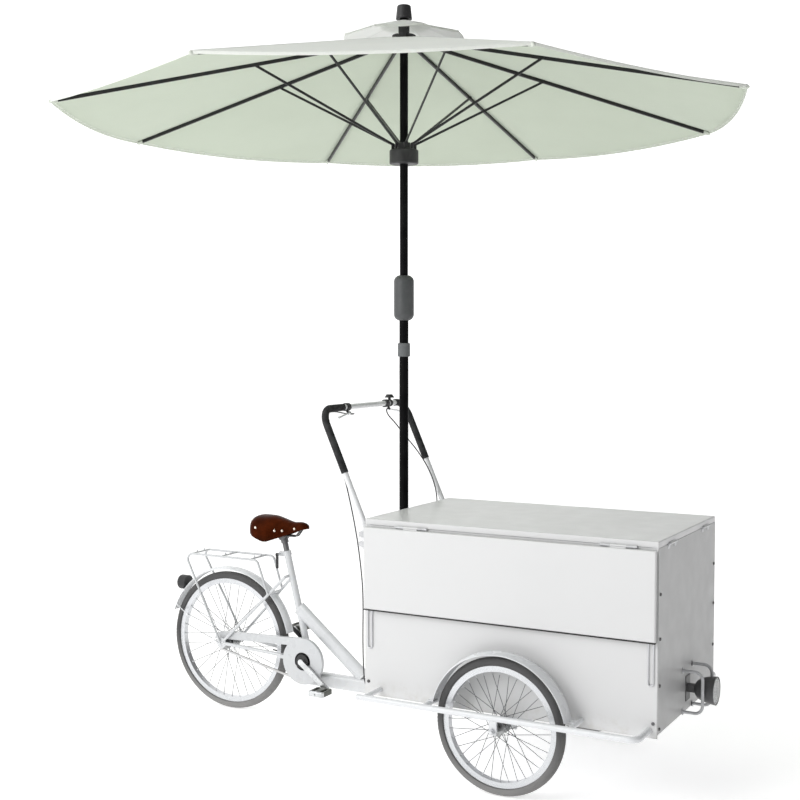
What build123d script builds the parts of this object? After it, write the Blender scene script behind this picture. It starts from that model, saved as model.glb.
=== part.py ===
from build123d import *
import math
import os

os.makedirs("parts", exist_ok=True)

# Snack vending cart: a front-load tricycle with a box, a push bar and a market umbrella.
# The origin is on the ground under the umbrella mast. X points forward, Y to the left, Z up.
# All sizes are in millimetres and degrees.

# Fits
running_gap = 0.3
seat_gap = 0.2
sides = (-1, 1)

# Box
box_length = 1200
box_width = 740
box_back = 26
box_low = 294
panel_height = 668
sheet = 2
side_skirt = 14
lid_height = 24
lid_corner = 6
seam = 1.5
post = 22
floor_rail = 30
box_front = box_back + box_length
half_width = box_width / 2
panel_top = box_low + panel_height
lid_low = panel_top + seam
lid_top = panel_top + lid_height
floor_z = box_low + floor_rail

# Lid hinge along the front edge
lid_knuckle_r = 4
lid_hinge_pin = 4
lid_hinge_x = box_front + lid_knuckle_r
lid_hinge_z = panel_top + seam / 2
lid_hinge_ys = (-220, 220)
lid_knuckle_length = 50
lid_end_knuckle = 24
lid_leaf_drop = 16
lid_leaf_gap = 0.5

# Side flaps with their hinges and stays
flap_drop = 334
flap_gap = 8
flap_depth = 14
flap_inset = 5
flap_wall = 1.5
flap_top_gap = 7
flap_back = box_back + flap_inset
flap_front = box_front - flap_inset
flap_inner = half_width + flap_gap
flap_outer = flap_inner + flap_depth
flap_low = panel_top - flap_drop
flap_high = panel_top - flap_top_gap
knuckle_r = 5
hinge_pin = 5
leaf = 2
leaf_drop = 36
leaf_weld = 0.5
hinge_y = half_width + leaf - leaf_weld + knuckle_r
hinge_xs = (box_back + 210, box_back + 1052)
knuckle_length = 60
end_knuckle = 40
stay_drop = 195
stay_length = 300
stay_wire = 5
stay_width = 24
stay_barrel = 8
barrel_lip = 1.5
stay_inset = 20
stay_y = half_width + 4.3
stay_pivot_z = panel_top - stay_drop
stay_xs = (flap_back + stay_inset, flap_front - stay_inset)
flap_open = 90
stay_swing = 131

# Front axle, side rails and mudguards
front_tyre_r = 260
front_tyre_width = 40
front_rim_r = 229
front_rim_width = 28
front_wheel_y = 440
axle_x = 648
front_axle = 12
front_hub_length = 80
front_hub_r = 16
front_flange_r = 30
front_flange_half = 28
axle_plate = 10
plate_half = 30
rail = 24
rail_bore = 20.8
rail_y = 505
rail_z = 308
rail_back = 68
rail_front = box_front - 31
rail_bend = 30
stub = 20
rear_stub = 28
guard_r = 272
guard_width = 72
guard_crown = 7
guard_thick = 2
stub_reach = guard_r + guard_crown + guard_thick + stub / 2 + 2
stub_xs = (rail_back + rear_stub, axle_x - stub_reach, axle_x + stub_reach)

# Steering
pivot_x = 560
king_pin = 30
head_tube = 60
boom_low = 164
boom_height = 61
boom_width = 46
boom_wall = 3
pivot_plate = 8
pin_cap = 10
boom_z = boom_low + boom_height / 2
head_low = boom_low - 4
head_high = box_low - pivot_plate - running_gap

# Rear end
rear_tyre_r = 315
rear_tyre_width = 40
rear_rim_r = 284
rear_rim_width = 28
rear_x = -902
rear_axle = 10
rear_hub_length = 120
rear_hub_r = 20
rear_flange_r = 32
rear_flange_half = 30
sprocket_bore_r = 19
bracket_x = -474
bracket_z = 279
bracket_shell = 46
bracket_half = 40
seat_top_x = -595
seat_top_z = 750
seat_tube = 30
seat_post = 25
down_tube = (62, 38)
down_start = (-529, 500)
down_end = (-199, 231)
chain_stay = 16
chain_stay_y = 28
seat_stay = 13
seat_stay_y = 36
seat_stay_x = -580
seat_stay_z = 640
dropout_y = 78
dropout = 5
dropout_r = 24
axle_half = 92

# Chain drive
chain_y = 52
chain_pitch = 12.7
ring_teeth = 44
sprocket_teeth = 18
tooth_height = 3
ring_thick = 3.6
chain_half = 4
chain_plate = 1.4
chain_height = 9
ring_r = chain_pitch / (2 * math.sin(math.pi / ring_teeth))
sprocket_r = chain_pitch / (2 * math.sin(math.pi / sprocket_teeth))
roller = 7.5
case_disc_r = 102
case_tail_r = 50
case_hole_r = 40
case_band = 34
case_plate = 2
case_out = chain_y + chain_half + 7
case_rim = 17
case_tab = 17
crank_length = 168
crank_angle = -38
crank_in = 68
crank_thick = 12
crank_boss_r = 13
crank_eye_r = 10
spindle = 17
spider_r = 28
pedal_spindle = 9
pedal_length = 76
pedal_width = 82
pedal_thick = 22
pedal_in = 6
pedal_corner = 10
pedal_window = (16, 54)
pedal_window_x = 20

# Saddle
saddle_nose = -478
saddle_length = 288
saddle_low = 794
saddle_high = 907
leather = 6
post_above = 64
post_below = 190
saddle_rail = 7
saddle_rail_y = 22
rail_tip = 0.4
nose_drop = 31.2
tail_drop = 19.2
lever_length = 62
clamp_height = 20
clamp_wall = 3
lever_x = -624
lever_y = 34
lever_z = 736
lever_eye_r = 7
lever_half = 5
lever_slot = 4

# Rack, rear mudguard and tail lamp
rack_z = 708
rack_back = -1116
rack_front = -712
rack_y = 65
rack_tube = 10
rack_bend = 26
rear_guard_r = 328
rear_guard_width = 54
rear_guard_crown = 9
rear_guard_start = 12
rear_guard_end = 161
guard_wire = 4
lamp_r = 33
lamp_length = 46
lamp_angle = 137

# Handlebar
bar = 24
bar_bore = 20
bar_x = -191
bar_z = 1412
bar_y = 350
bar_foot_x = 11
bar_foot_z = 962
bar_low = 860
bar_bend = 70
foot_bend = 120
grip = 30
grip_start_z = 1160
grip_end_right = 180
grip_end_left = 262
clamp_zs = (880, 920)
clamp_half = 10
clamp_back = 4
lever_clamp_ys = (-150, 180)
lever_reach = 28
lever_blade = 100
lever_flare = 10
lever_pin = 5
bell_y = 216
bell_r = 22

# Headlamp
lamp_x = 1296
lamp_z = 378
headlamp_r = 54
headlamp_depth = 84
lens_thick = 5
lens_rim = 4
lamp_arm = 28
lamp_plate = (52, 96, 3)
guard_rod = 12
guard_side = 64
guard_reach = 76
guard_half = 78
guard_bend = 30
guard_foot = 24

# Mast
mast_lower_d = 38
mast_lower_bore = 34.6
mast_upper_d = 34
mast_upper_bore = 28
mast_foot = 322
mast_lower_top = 1950
mast_upper_low = 1450
mast_top = 3022
collar_r = 26
collar_low = 1622
collar_height = 57
pod_z = 1868
pod_r = 42
pod_half = 95
pod_corner = 27
winch_turn = 112.5
winch_boss_r = 12
winch_reach = 56
winch_shaft = 10
winch_arm = 62
bracket_half_y = 28
bracket_zs = ((316, 390), (900, 930))

# Umbrella
rib_count = 8
rib_slope = 13.1
rib_height = 14
rib_width = 8
hub_pivot_r = 40
hub_pivot_z = 2935
rib_tip_r = 1420
hub_r = 49
hub_half = 20
pivot_pin = 4
rib_eye = 7
runner_pivot_r = 45
runner_pivot_z = 2505
runner_r = 60.5
runner_low = 2424
runner_top = 2484
runner_neck_r = 27.5
runner_neck_top = 2513
joint_along = 600
stretcher_height = 10
stretcher_thick = 5
stretcher_eye = 6
lug_thick = 4
cloth = 2
hem_bulge = 27
vent_hole_r = 160
vent_r = 250
vent_top_r = 24
vent_top_z = mast_top - 12
vent_edge_z = vent_top_z - 63
finial_low_r = 34
finial_top_r = 28
finial_height = 57


def block(low, high, mode=Mode.ADD):
    """Adds or cuts a square-edged block between two opposite corners."""
    size = Vector(high) - Vector(low)
    with Locations((Vector(low) + Vector(high)) * 0.5):
        Box(abs(size.X), abs(size.Y), abs(size.Z), mode=mode)


def rod(start, end, diameter, mode=Mode.ADD):
    """Adds or cuts a straight round bar between two points."""
    along = Vector(end) - Vector(start)
    with Locations(Plane(origin=(Vector(start) + Vector(end)) * 0.5, z_dir=along).location):
        Cylinder(diameter / 2, along.length, mode=mode)


def bent_tube(points, bends, diameter, bore=0):
    """Adds a tube along straight runs joined by tangent arcs of the given bend radii."""
    with BuildLine() as route:
        FilletPolyline(points, radius=bends)
    start = Plane(origin=points[0], z_dir=Vector(points[1]) - Vector(points[0]))
    with BuildSketch(start) as section:
        Circle(diameter / 2)
        if bore:
            Circle(bore / 2, mode=Mode.SUBTRACT)
    sweep(section.sketch, path=route.line)


def wheel_plane(centre, angle):
    """A plane through a wheel's axle whose x axis points out at an angle above forward."""
    turn = math.radians(angle)
    return Plane(
        origin=centre,
        x_dir=(math.cos(turn), 0, math.sin(turn)),
        z_dir=(-math.sin(turn), 0, math.cos(turn)),
    )


def guard_strip(centre, radius, width, crown, start, end):
    """Adds a mudguard: a crowned strip turned about a wheel's axle from one angle to another."""
    with BuildSketch(wheel_plane(centre, start)) as section:
        with BuildLine():
            outer = ThreePointArc(
                (radius + guard_thick, -width / 2),
                (radius + guard_thick + crown, 0),
                (radius + guard_thick, width / 2),
            )
            inner = ThreePointArc((radius, -width / 2), (radius + crown, 0), (radius, width / 2))
            Line(outer @ 0, inner @ 0)
            Line(outer @ 1, inner @ 1)
        make_face()
    revolve(section.sketch, axis=Axis(centre, (0, -1, 0)), revolution_arc=end - start)


def tyre(centre, radius, width, rim_r, rim_width):
    """Adds a hollow tyre, open towards the rim, turned about the axle."""
    wall = 4.5
    middle = radius - width / 2
    with BuildSketch(wheel_plane(centre, 0)) as section:
        with Locations((middle, 0)):
            Circle(width / 2)
            Circle(width / 2 - wall, mode=Mode.SUBTRACT)
        with Locations((rim_r / 2, 0)):
            Rectangle(rim_r + 2 * running_gap, rim_width + 2 * running_gap, mode=Mode.SUBTRACT)
    revolve(section.sketch, axis=Axis(centre, (0, 1, 0)))


def spoked_wheel(centre, rim_r, rim_width, hub_length, hub_r, flange_r, flange_half, bore):
    """Adds a rim, a flanged hub and thirty-six crossed spokes about the axle."""
    rim_depth = 22
    spoke = 2.4
    spokes = 36
    cross = 60
    flange = 4
    with BuildSketch(wheel_plane(centre, 0)) as section:
        with Locations((rim_r - rim_depth / 2, 0)):
            Rectangle(rim_depth, rim_width)
        with Locations((rim_r, 0)):
            Rectangle(14, rim_width - 8, mode=Mode.SUBTRACT)
        with Locations((hub_r / 2 + bore / 4, 0)):
            Rectangle(hub_r - bore / 2, hub_length)
        with Locations((flange_r / 2 + bore / 4, -flange_half), (flange_r / 2 + bore / 4, flange_half)):
            Rectangle(flange_r - bore / 2, flange)
    revolve(section.sketch, axis=Axis(centre, (0, 1, 0)))
    hub_end = flange_r - 3
    rim_end = rim_r - rim_depth + 2
    for flange_side in sides:
        for lean in sides:
            places = []
            for i in range(spokes // 4):
                at_rim = math.radians(40 * i + 10 * (flange_side + 1) + 10 * (lean + 1) / 2)
                at_hub = at_rim + math.radians(cross) * lean
                root_y = flange_side * (flange_half + 2.5 * lean)
                root = Vector(hub_end * math.cos(at_hub), root_y, hub_end * math.sin(at_hub))
                tip = Vector(rim_end * math.cos(at_rim), 0, rim_end * math.sin(at_rim))
                middle = Vector(centre) + (root + tip) * 0.5
                places.append(Plane(origin=middle, z_dir=tip - root).location)
                length = (tip - root).length
            with Locations(*places):
                Cylinder(spoke / 2, length)


def cord_bends(points):
    """The largest bend radii that a cord's runs leave room for, one for each inner point."""
    bends = []
    for before, corner, after in zip(points, points[1:], points[2:]):
        run_in = Vector(corner) - Vector(before)
        run_out = Vector(after) - Vector(corner)
        turn = math.radians(run_in.get_angle(run_out))
        bends.append(0.45 * min(run_in.length, run_out.length) / math.tan(turn / 2))
    return bends


def keep(piece, label):
    """Labels a finished piece and writes its file."""
    piece.part.label = label
    export_step(piece.part, f"parts/{label}.step")


# Floor frame with posts, side rails, axle plates, king pin and mast brackets
inner_x = (box_back + sheet, box_front - sheet)
inner_y = half_width - sheet
rail_in = inner_y - floor_rail
front_axle_z = front_tyre_r
mast_hole = mast_lower_d + 2 * running_gap
bracket_back = -mast_hole / 2 - 8
with BuildPart() as carriage_frame:
    for side in sides:
        block((inner_x[0], side * rail_in, box_low), (inner_x[1], side * inner_y, floor_z))
        for low_x in (inner_x[0], inner_x[1] - post):
            block(
                (low_x, side * (inner_y - post), box_low),
                (low_x + post, side * inner_y, lid_low - running_gap),
            )
        bent_tube(
            [
                (rail_back, side * rail_y, rail_z),
                (rail_front, side * rail_y, rail_z),
                (rail_front, side * (inner_y - 10), rail_z),
            ],
            rail_bend,
            rail,
            rail_bore,
        )
        for x in stub_xs:
            rod((x, side * (inner_y - 10), rail_z), (x, side * rail_y, rail_z), stub)
        inner_plate = inner_y - 8
        block(
            (axle_x - plate_half, side * (inner_plate - axle_plate), front_axle_z - plate_half),
            (axle_x + plate_half, side * inner_plate, box_low),
        )
        block(
            (axle_x - plate_half / 2, side * (rail_y - axle_plate / 2), front_axle_z - plate_half / 2),
            (axle_x + plate_half / 2, side * (rail_y + axle_plate / 2), rail_z),
        )
        rod(
            (axle_x, side * (inner_plate - axle_plate), front_axle_z),
            (axle_x, side * (rail_y + rail), front_axle_z),
            front_axle,
        )
        block(
            (axle_x - plate_half, side * (inner_plate - 1), front_axle_z - 6),
            (axle_x - plate_half + 12, side * (half_width + 22), front_axle_z + 18),
        )
    for low_x in (inner_x[0], pivot_x - 45, inner_x[1] - floor_rail):
        wide = 90 if low_x == pivot_x - 45 else floor_rail
        block((low_x, -rail_in, box_low), (low_x + wide, rail_in, floor_z))
    brace_y = inner_y - post
    block((inner_x[0], -brace_y, bracket_zs[1][0]), (inner_x[0] + post, brace_y, bracket_zs[1][1]))
    rod((pivot_x, 0, box_low - pivot_plate), (pivot_x, 0, box_low), head_tube + 20)
    rod((pivot_x, 0, head_low - running_gap - pin_cap), (pivot_x, 0, box_low), king_pin)
    rod((pivot_x, 0, head_low - running_gap - pin_cap), (pivot_x, 0, head_low - running_gap), head_tube)
    for low, high in bracket_zs:
        block((bracket_back, -bracket_half_y, low), (inner_x[0], bracket_half_y, high))
    rod((0, 0, mast_foot), (0, 0, panel_top), mast_hole, mode=Mode.SUBTRACT)
keep(carriage_frame, "carriage_frame")

# Box shell: two side sheets, two end sheets and the floor
with BuildPart() as box_shell:
    for side in sides:
        block((box_back, side * inner_y, box_low - side_skirt), (box_front, side * half_width, panel_top))
    end_y = inner_y - seat_gap
    for low_x in (box_back, box_front - sheet):
        block((low_x, -end_y, box_low), (low_x + sheet, end_y, panel_top))
    block(
        (inner_x[0] + seat_gap, -end_y, floor_z),
        (inner_x[1] - seat_gap, end_y, floor_z + sheet),
    )
    for side in sides:
        for low_x in (inner_x[0], inner_x[1] - post):
            block(
                (low_x - seat_gap, side * (inner_y - post - seat_gap), floor_z),
                (low_x + post + seat_gap, side * inner_y, floor_z + sheet),
                mode=Mode.SUBTRACT,
            )
        for x in stub_xs:
            rod(
                (x, side * (inner_y - 1), rail_z),
                (x, side * (half_width + 1), rail_z),
                stub + 2 * running_gap,
                mode=Mode.SUBTRACT,
            )
        rod(
            (rail_front, side * (inner_y - 1), rail_z),
            (rail_front, side * (half_width + 1), rail_z),
            rail + 2 * running_gap,
            mode=Mode.SUBTRACT,
        )
    for low, high in bracket_zs:
        block(
            (box_back - 1, -bracket_half_y - seat_gap, low - seat_gap),
            (inner_x[0], bracket_half_y + seat_gap, high + seat_gap),
            mode=Mode.SUBTRACT,
        )
keep(box_shell, "box_shell")

# Lid: a shallow pan with its hinge knuckles on the front edge
with BuildPart() as lid:
    block((box_back, -half_width, lid_low), (box_front, half_width, lid_top))
    fillet(lid.edges().filter_by(Axis.Z), lid_corner)
    fillet(lid.edges().group_by(Axis.Z)[-1], lid_corner - sheet)
    block(
        (inner_x[0], -inner_y, lid_low),
        (inner_x[1], inner_y, lid_top - sheet),
        mode=Mode.SUBTRACT,
    )
    half_knuckle = lid_knuckle_length / 2
    for y in lid_hinge_ys:
        ends = (y - half_knuckle, y + half_knuckle)
        block((box_front - sheet, ends[0], lid_low), (lid_hinge_x, ends[1], lid_low + 5))
        rod((lid_hinge_x, ends[0], lid_hinge_z), (lid_hinge_x, ends[1], lid_hinge_z), 2 * lid_knuckle_r)
        rod(
            (lid_hinge_x, ends[0], lid_hinge_z),
            (lid_hinge_x, ends[1], lid_hinge_z),
            lid_hinge_pin + 2 * running_gap,
            mode=Mode.SUBTRACT,
        )
keep(lid, "lid")

# Side flaps: shallow pans hinged at their top edge, with lugs for the stays
for side, label in zip(sides, ("flap_right", "flap_left")):
    with BuildPart() as flap:
        block((flap_back, side * flap_inner, flap_low), (flap_front, side * flap_outer, flap_high))
        outer_face = flap.faces().sort_by(Axis.Y)[0 if side < 0 else -1]
        fillet(outer_face.edges(), 5)
        block(
            (flap_back + flap_wall, side * flap_inner, flap_low + flap_wall),
            (flap_front - flap_wall, side * (flap_outer - flap_wall), flap_high - flap_wall),
            mode=Mode.SUBTRACT,
        )
        for x in hinge_xs:
            ends = (x - knuckle_length / 2, x + knuckle_length / 2)
            block(
                (ends[0], side * hinge_y, flap_high - 1),
                (ends[1], side * (hinge_y + 9), panel_top - knuckle_r + 2),
            )
            rod((ends[0], side * hinge_y, panel_top), (ends[1], side * hinge_y, panel_top), 2 * knuckle_r)
            rod(
                (ends[0], side * hinge_y, panel_top),
                (ends[1], side * hinge_y, panel_top),
                hinge_pin + 2 * running_gap,
                mode=Mode.SUBTRACT,
            )
        half_barrel = stay_width / 2 + barrel_lip + running_gap
        for x in stay_xs:
            for end in sides:
                lug_x = x + end * half_barrel
                block(
                    (lug_x, side * (stay_y - 3), stay_pivot_z - 5),
                    (lug_x + end * 3, side * (flap_outer - flap_wall), stay_pivot_z + 5),
                )
            rod(
                (x - half_barrel, side * stay_y, stay_pivot_z),
                (x + half_barrel, side * stay_y, stay_pivot_z),
                stay_barrel / 2,
            )
    keep(flap, label)

# Flap stays: hairpin wires that swing on a barrel
for side, label in zip(sides, ("flap_stays_right", "flap_stays_left")):
    with BuildPart() as stays:
        leg = stay_width / 2 - stay_wire / 2
        foot_z = stay_pivot_z - stay_length + stay_wire / 2
        for x in stay_xs:
            with BuildLine() as hairpin:
                Line((x - leg, side * stay_y, stay_pivot_z), (x - leg, side * stay_y, foot_z + leg))
                ThreePointArc(
                    (x - leg, side * stay_y, foot_z + leg),
                    (x, side * stay_y, foot_z),
                    (x + leg, side * stay_y, foot_z + leg),
                )
                Line((x + leg, side * stay_y, foot_z + leg), (x + leg, side * stay_y, stay_pivot_z))
            with BuildSketch(Plane(origin=hairpin.line @ 0, z_dir=(0, 0, -1))) as wire:
                Circle(stay_wire / 2)
            sweep(wire.sketch, path=hairpin.line)
            ends = (x - stay_width / 2 - barrel_lip, x + stay_width / 2 + barrel_lip)
            rod(
                (ends[0], side * stay_y, stay_pivot_z),
                (ends[1], side * stay_y, stay_pivot_z),
                stay_barrel,
            )
            rod(
                (ends[0], side * stay_y, stay_pivot_z),
                (ends[1], side * stay_y, stay_pivot_z),
                stay_barrel / 2 + 2 * running_gap,
                mode=Mode.SUBTRACT,
            )
    keep(stays, label)

# Box hardware: hinge leaves with pins, stay keepers, screws, axle nuts and bar clamps
stay_lean = math.radians(stay_swing - flap_open)
keeper_z = panel_top - stay_length * math.cos(stay_lean) + stay_wire + 6
screw_zs = [panel_top - depth for depth in (166, 326, 494, 650)]
with BuildPart() as box_hardware:
    for side in sides:
        for x in hinge_xs:
            outer = knuckle_length / 2 + seat_gap
            for end in sides:
                near = x + end * outer
                far = near + end * end_knuckle
                rod((near, side * hinge_y, panel_top), (far, side * hinge_y, panel_top), 2 * knuckle_r)
                block(
                    (near, side * half_width, panel_top - leaf_drop),
                    (far, side * (half_width + leaf), panel_top),
                )
                block((near, side * half_width, panel_top - 5), (far, side * hinge_y, panel_top - 1))
            reach = outer + end_knuckle
            rod(
                (x - reach, side * hinge_y, panel_top),
                (x + reach, side * hinge_y, panel_top),
                hinge_pin,
            )
        for x in stay_xs:
            block(
                (x - stay_width / 2, side * half_width, keeper_z - 4),
                (x + stay_width / 2, side * (half_width + 1), keeper_z + 14),
            )
            rod((x, side * half_width, keeper_z), (x, side * (half_width + 12), keeper_z), 6)
        for x in (box_back + 16, box_front - 16):
            rod((x, side * half_width, box_low + 40), (x, side * (half_width + 2.5), box_low + 40), 11)
        for z in screw_zs:
            y = side * (half_width - 18)
            rod((box_front, y, z), (box_front + 2.5, y, z), 11)
            rod((box_back, y, z), (box_back - 2.5, y, z), 11)
        nut_y = rail_y + axle_plate / 2
        with BuildSketch(Plane(origin=(axle_x, side * nut_y, front_axle_z), z_dir=(0, side, 0))) as nut:
            RegularPolygon(11, 6)
            Circle(front_axle / 2 + running_gap, mode=Mode.SUBTRACT)
        extrude(nut.sketch, amount=10)
        for z in clamp_zs:
            block(
                (bar_foot_x - bar / 2 - clamp_back, side * (bar_y - 20), z - clamp_half),
                (box_back, side * (bar_y + 18), z + clamp_half),
            )
            rod(
                (bar_foot_x, side * bar_y, z - clamp_half - 1),
                (bar_foot_x, side * bar_y, z + clamp_half + 1),
                bar + 2 * running_gap,
                mode=Mode.SUBTRACT,
            )
    for y in lid_hinge_ys:
        outer = lid_knuckle_length / 2 + seat_gap
        for end in sides:
            near = y + end * outer
            far = near + end * lid_end_knuckle
            rod((lid_hinge_x, near, lid_hinge_z), (lid_hinge_x, far, lid_hinge_z), 2 * lid_knuckle_r)
            leaf_top = panel_top - lid_leaf_gap
            block((box_front, near, panel_top - lid_leaf_drop), (box_front + leaf, far, leaf_top))
            block((box_front, near, panel_top - 5), (lid_hinge_x, far, leaf_top))
        reach = outer + lid_end_knuckle
        rod((lid_hinge_x, y - reach, lid_hinge_z), (lid_hinge_x, y + reach, lid_hinge_z), lid_hinge_pin)
keep(box_hardware, "box_hardware")

# Front mudguards with a tab on each stub
guard_angle = math.degrees(math.asin((rail_z + stub / 2 - front_axle_z) / guard_r))
with BuildPart() as front_mudguards:
    for side in sides:
        centre = (axle_x, side * front_wheel_y, front_axle_z)
        guard_strip(centre, guard_r, guard_width, guard_crown, guard_angle, 180 - guard_angle)
        for end in sides:
            tab_x = axle_x + end * (guard_r * math.cos(math.radians(guard_angle)) - 1)
            block(
                (tab_x, side * (front_wheel_y - 16), rail_z + stub / 2 + running_gap),
                (axle_x + end * (stub_reach + 8), side * (front_wheel_y + 16), rail_z + stub / 2 + 2.5),
            )
keep(front_mudguards, "front_mudguards")

# Wheels and tyres
for side, name in zip(sides, ("right", "left")):
    centre = (axle_x, side * front_wheel_y, front_axle_z)
    with BuildPart() as front_tyre:
        tyre(centre, front_tyre_r, front_tyre_width, front_rim_r, front_rim_width)
    keep(front_tyre, f"front_tyre_{name}")
    with BuildPart() as front_wheel:
        spoked_wheel(
            centre, front_rim_r, front_rim_width,
            front_hub_length, front_hub_r, front_flange_r, front_flange_half,
            front_axle + 2 * running_gap,
        )
    keep(front_wheel, f"front_wheel_{name}")

rear_centre = (rear_x, 0, rear_tyre_r)
with BuildPart() as rear_tyre:
    tyre(rear_centre, rear_tyre_r, rear_tyre_width, rear_rim_r, rear_rim_width)
keep(rear_tyre, "rear_tyre")


def toothed_ring(centre, pitch_r, teeth, bore_r):
    """Adds a sprocket in the chain's plane: a disc with one tooth for each chain link."""
    at = Plane(origin=centre, x_dir=(1, 0, 0), z_dir=(0, -1, 0)).offset(chain_y - ring_thick / 2)
    with BuildSketch(at) as profile:
        Circle(pitch_r - tooth_height)
        with PolarLocations(pitch_r - tooth_height, teeth):
            Trapezoid(2 * tooth_height, 5.5, 62, rotation=-90)
        Circle(bore_r, mode=Mode.SUBTRACT)
    extrude(profile.sketch, amount=ring_thick)


rear_bore = rear_axle + 2 * running_gap
with BuildPart() as rear_wheel:
    spoked_wheel(
        rear_centre, rear_rim_r, rear_rim_width,
        rear_hub_length, rear_hub_r, rear_flange_r, rear_flange_half,
        rear_bore,
    )
    toothed_ring(rear_centre, sprocket_r, sprocket_teeth, sprocket_bore_r)
keep(rear_wheel, "rear_wheel")

# Rear frame: steering head, boom, bracket shell, seat tube, down tube, stays and axle
seat_dir = (Vector(seat_top_x, 0, seat_top_z) - Vector(bracket_x, 0, bracket_z)).normalized()
seat_top = Vector(seat_top_x, 0, seat_top_z)
stay_top = Vector(seat_stay_x, 0, seat_stay_z)
bridge_r = rear_guard_r + guard_thick + rear_guard_crown + 5 + running_gap
stay_span = math.hypot(seat_stay_x - rear_x, seat_stay_z - rear_tyre_r)
bridge_share = bridge_r / stay_span
bridge_x = rear_x + (seat_stay_x - rear_x) * bridge_share
bridge_z = rear_tyre_r + (seat_stay_z - rear_tyre_r) * bridge_share
bridge_y = dropout_y + (seat_stay_y - dropout_y) * bridge_share
with BuildPart() as rear_frame:
    rod((pivot_x, 0, head_low), (pivot_x, 0, head_high), head_tube)
    boom_end = bracket_x - 20
    with BuildSketch(Plane(origin=(boom_end, 0, boom_z), x_dir=(0, 1, 0), z_dir=(1, 0, 0))) as boom:
        RectangleRounded(boom_width, boom_height, 14)
    extrude(boom.sketch, amount=pivot_x - boom_end)
    with BuildSketch(Plane(origin=(boom_end, 0, boom_z), x_dir=(0, 1, 0), z_dir=(1, 0, 0))) as boom_core:
        RectangleRounded(boom_width - 2 * boom_wall, boom_height - 2 * boom_wall, 14 - boom_wall)
    extrude(boom_core.sketch, amount=pivot_x - head_tube / 2 - boom_end, mode=Mode.SUBTRACT)
    rod((bracket_x, 0, boom_z + boom_height / 2 - boom_wall), (bracket_x, 0, bracket_z), 40)
    rod((bracket_x, -bracket_half, bracket_z), (bracket_x, bracket_half, bracket_z), bracket_shell)
    rod((bracket_x, 0, bracket_z), seat_top, seat_tube)
    rod(seat_top - seat_dir * clamp_height, seat_top, seat_tube + 2 * clamp_wall)
    slope = Vector(down_end[0] - down_start[0], 0, down_end[1] - down_start[1])
    with BuildSketch(
        Plane(origin=(down_start[0], 0, down_start[1]), x_dir=(0, 1, 0), z_dir=slope)
    ) as oval:
        Ellipse(down_tube[1] / 2, down_tube[0] / 2)
    extrude(oval.sketch, amount=slope.length)
    for side in sides:
        rod(
            (bracket_x, side * chain_stay_y, bracket_z),
            (rear_x, side * dropout_y, rear_tyre_r),
            chain_stay,
        )
        rod(
            (seat_stay_x, side * seat_stay_y, seat_stay_z),
            (rear_x, side * dropout_y, rear_tyre_r),
            seat_stay,
        )
        with BuildSketch(Plane(origin=(rear_x, side * dropout_y, rear_tyre_r), z_dir=(0, 1, 0))) as plate:
            Circle(dropout_r)
        extrude(plate.sketch, amount=dropout / 2, both=True)
    rod((rear_x, -axle_half, rear_tyre_r), (rear_x, axle_half, rear_tyre_r), rear_axle)
    rod((bridge_x, -bridge_y, bridge_z), (bridge_x, bridge_y, bridge_z), 10)
    rod(
        (seat_stay_x, -seat_stay_y, seat_stay_z),
        (seat_stay_x, seat_stay_y, seat_stay_z),
        seat_stay,
    )
    rod(stay_top, (seat_stay_x + 20, 0, seat_stay_z), 20)
    clamp_at = seat_top - seat_dir * clamp_height / 2
    block((lever_x - 8, -9, lever_z - 10), (clamp_at.X - 14, 9, lever_z + 10))
    rod((lever_x, -lever_y + 10, lever_z), (lever_x, 18, lever_z), 7)
    block((lever_x - 1.5, -lever_y, lever_z - 2.5), (lever_x + 1.5, -lever_y + 12, lever_z + 2.5))
    rod((lever_x - 7, -lever_y, lever_z), (lever_x + 7, -lever_y, lever_z), lever_pin)
    bore_end = seat_top - seat_dir * (post_below + 70)
    rod(bore_end, seat_top + seat_dir, seat_post + 2 * running_gap, mode=Mode.SUBTRACT)
    rod(
        (pivot_x, 0, head_low), (pivot_x, 0, head_high),
        king_pin + 2 * running_gap,
        mode=Mode.SUBTRACT,
    )
    rod(
        (bracket_x, -bracket_half, bracket_z), (bracket_x, bracket_half, bracket_z),
        spindle + 2 * running_gap,
        mode=Mode.SUBTRACT,
    )
keep(rear_frame, "rear_frame")

# Chain: two plate loops with rollers on the straight runs
ring_at = Vector(bracket_x, 0, bracket_z)
sprocket_at = Vector(rear_x, 0, rear_tyre_r)


def drive_hull(extra):
    """Fills the outline of a belt round the chainring and the sprocket, grown by extra."""
    with Locations((bracket_x, bracket_z)):
        Circle(ring_r + extra)
    with Locations((rear_x, rear_tyre_r)):
        Circle(sprocket_r + extra)
    make_hull()


centre_gap = (sprocket_at - ring_at).length
line_turn = math.atan2(rear_tyre_r - bracket_z, rear_x - bracket_x)
spread = math.acos((ring_r - sprocket_r) / centre_gap)
with BuildPart() as chain:
    for plate_y in (chain_y - chain_half, chain_y + chain_half - chain_plate):
        with BuildSketch(Plane.XZ.offset(plate_y)) as loop:
            with BuildSketch(mode=Mode.PRIVATE) as inside:
                drive_hull(-chain_height / 2)
            drive_hull(chain_height / 2)
            add(inside.sketch, mode=Mode.SUBTRACT)
        extrude(loop.sketch, amount=chain_plate)
    for run in sides:
        turn = line_turn + run * spread
        out = Vector(math.cos(turn), 0, math.sin(turn))
        start = ring_at + out * ring_r
        end = sprocket_at + out * sprocket_r
        links = int((end - start).length / chain_pitch) - 12
        step = (end - start).normalized() * chain_pitch
        for i in range(6, links + 6, 2):
            at = start + step * i
            rod(
                (at.X, -chain_y + chain_half, at.Z),
                (at.X, -chain_y - chain_half, at.Z),
                roller,
            )
keep(chain, "chain")

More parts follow.
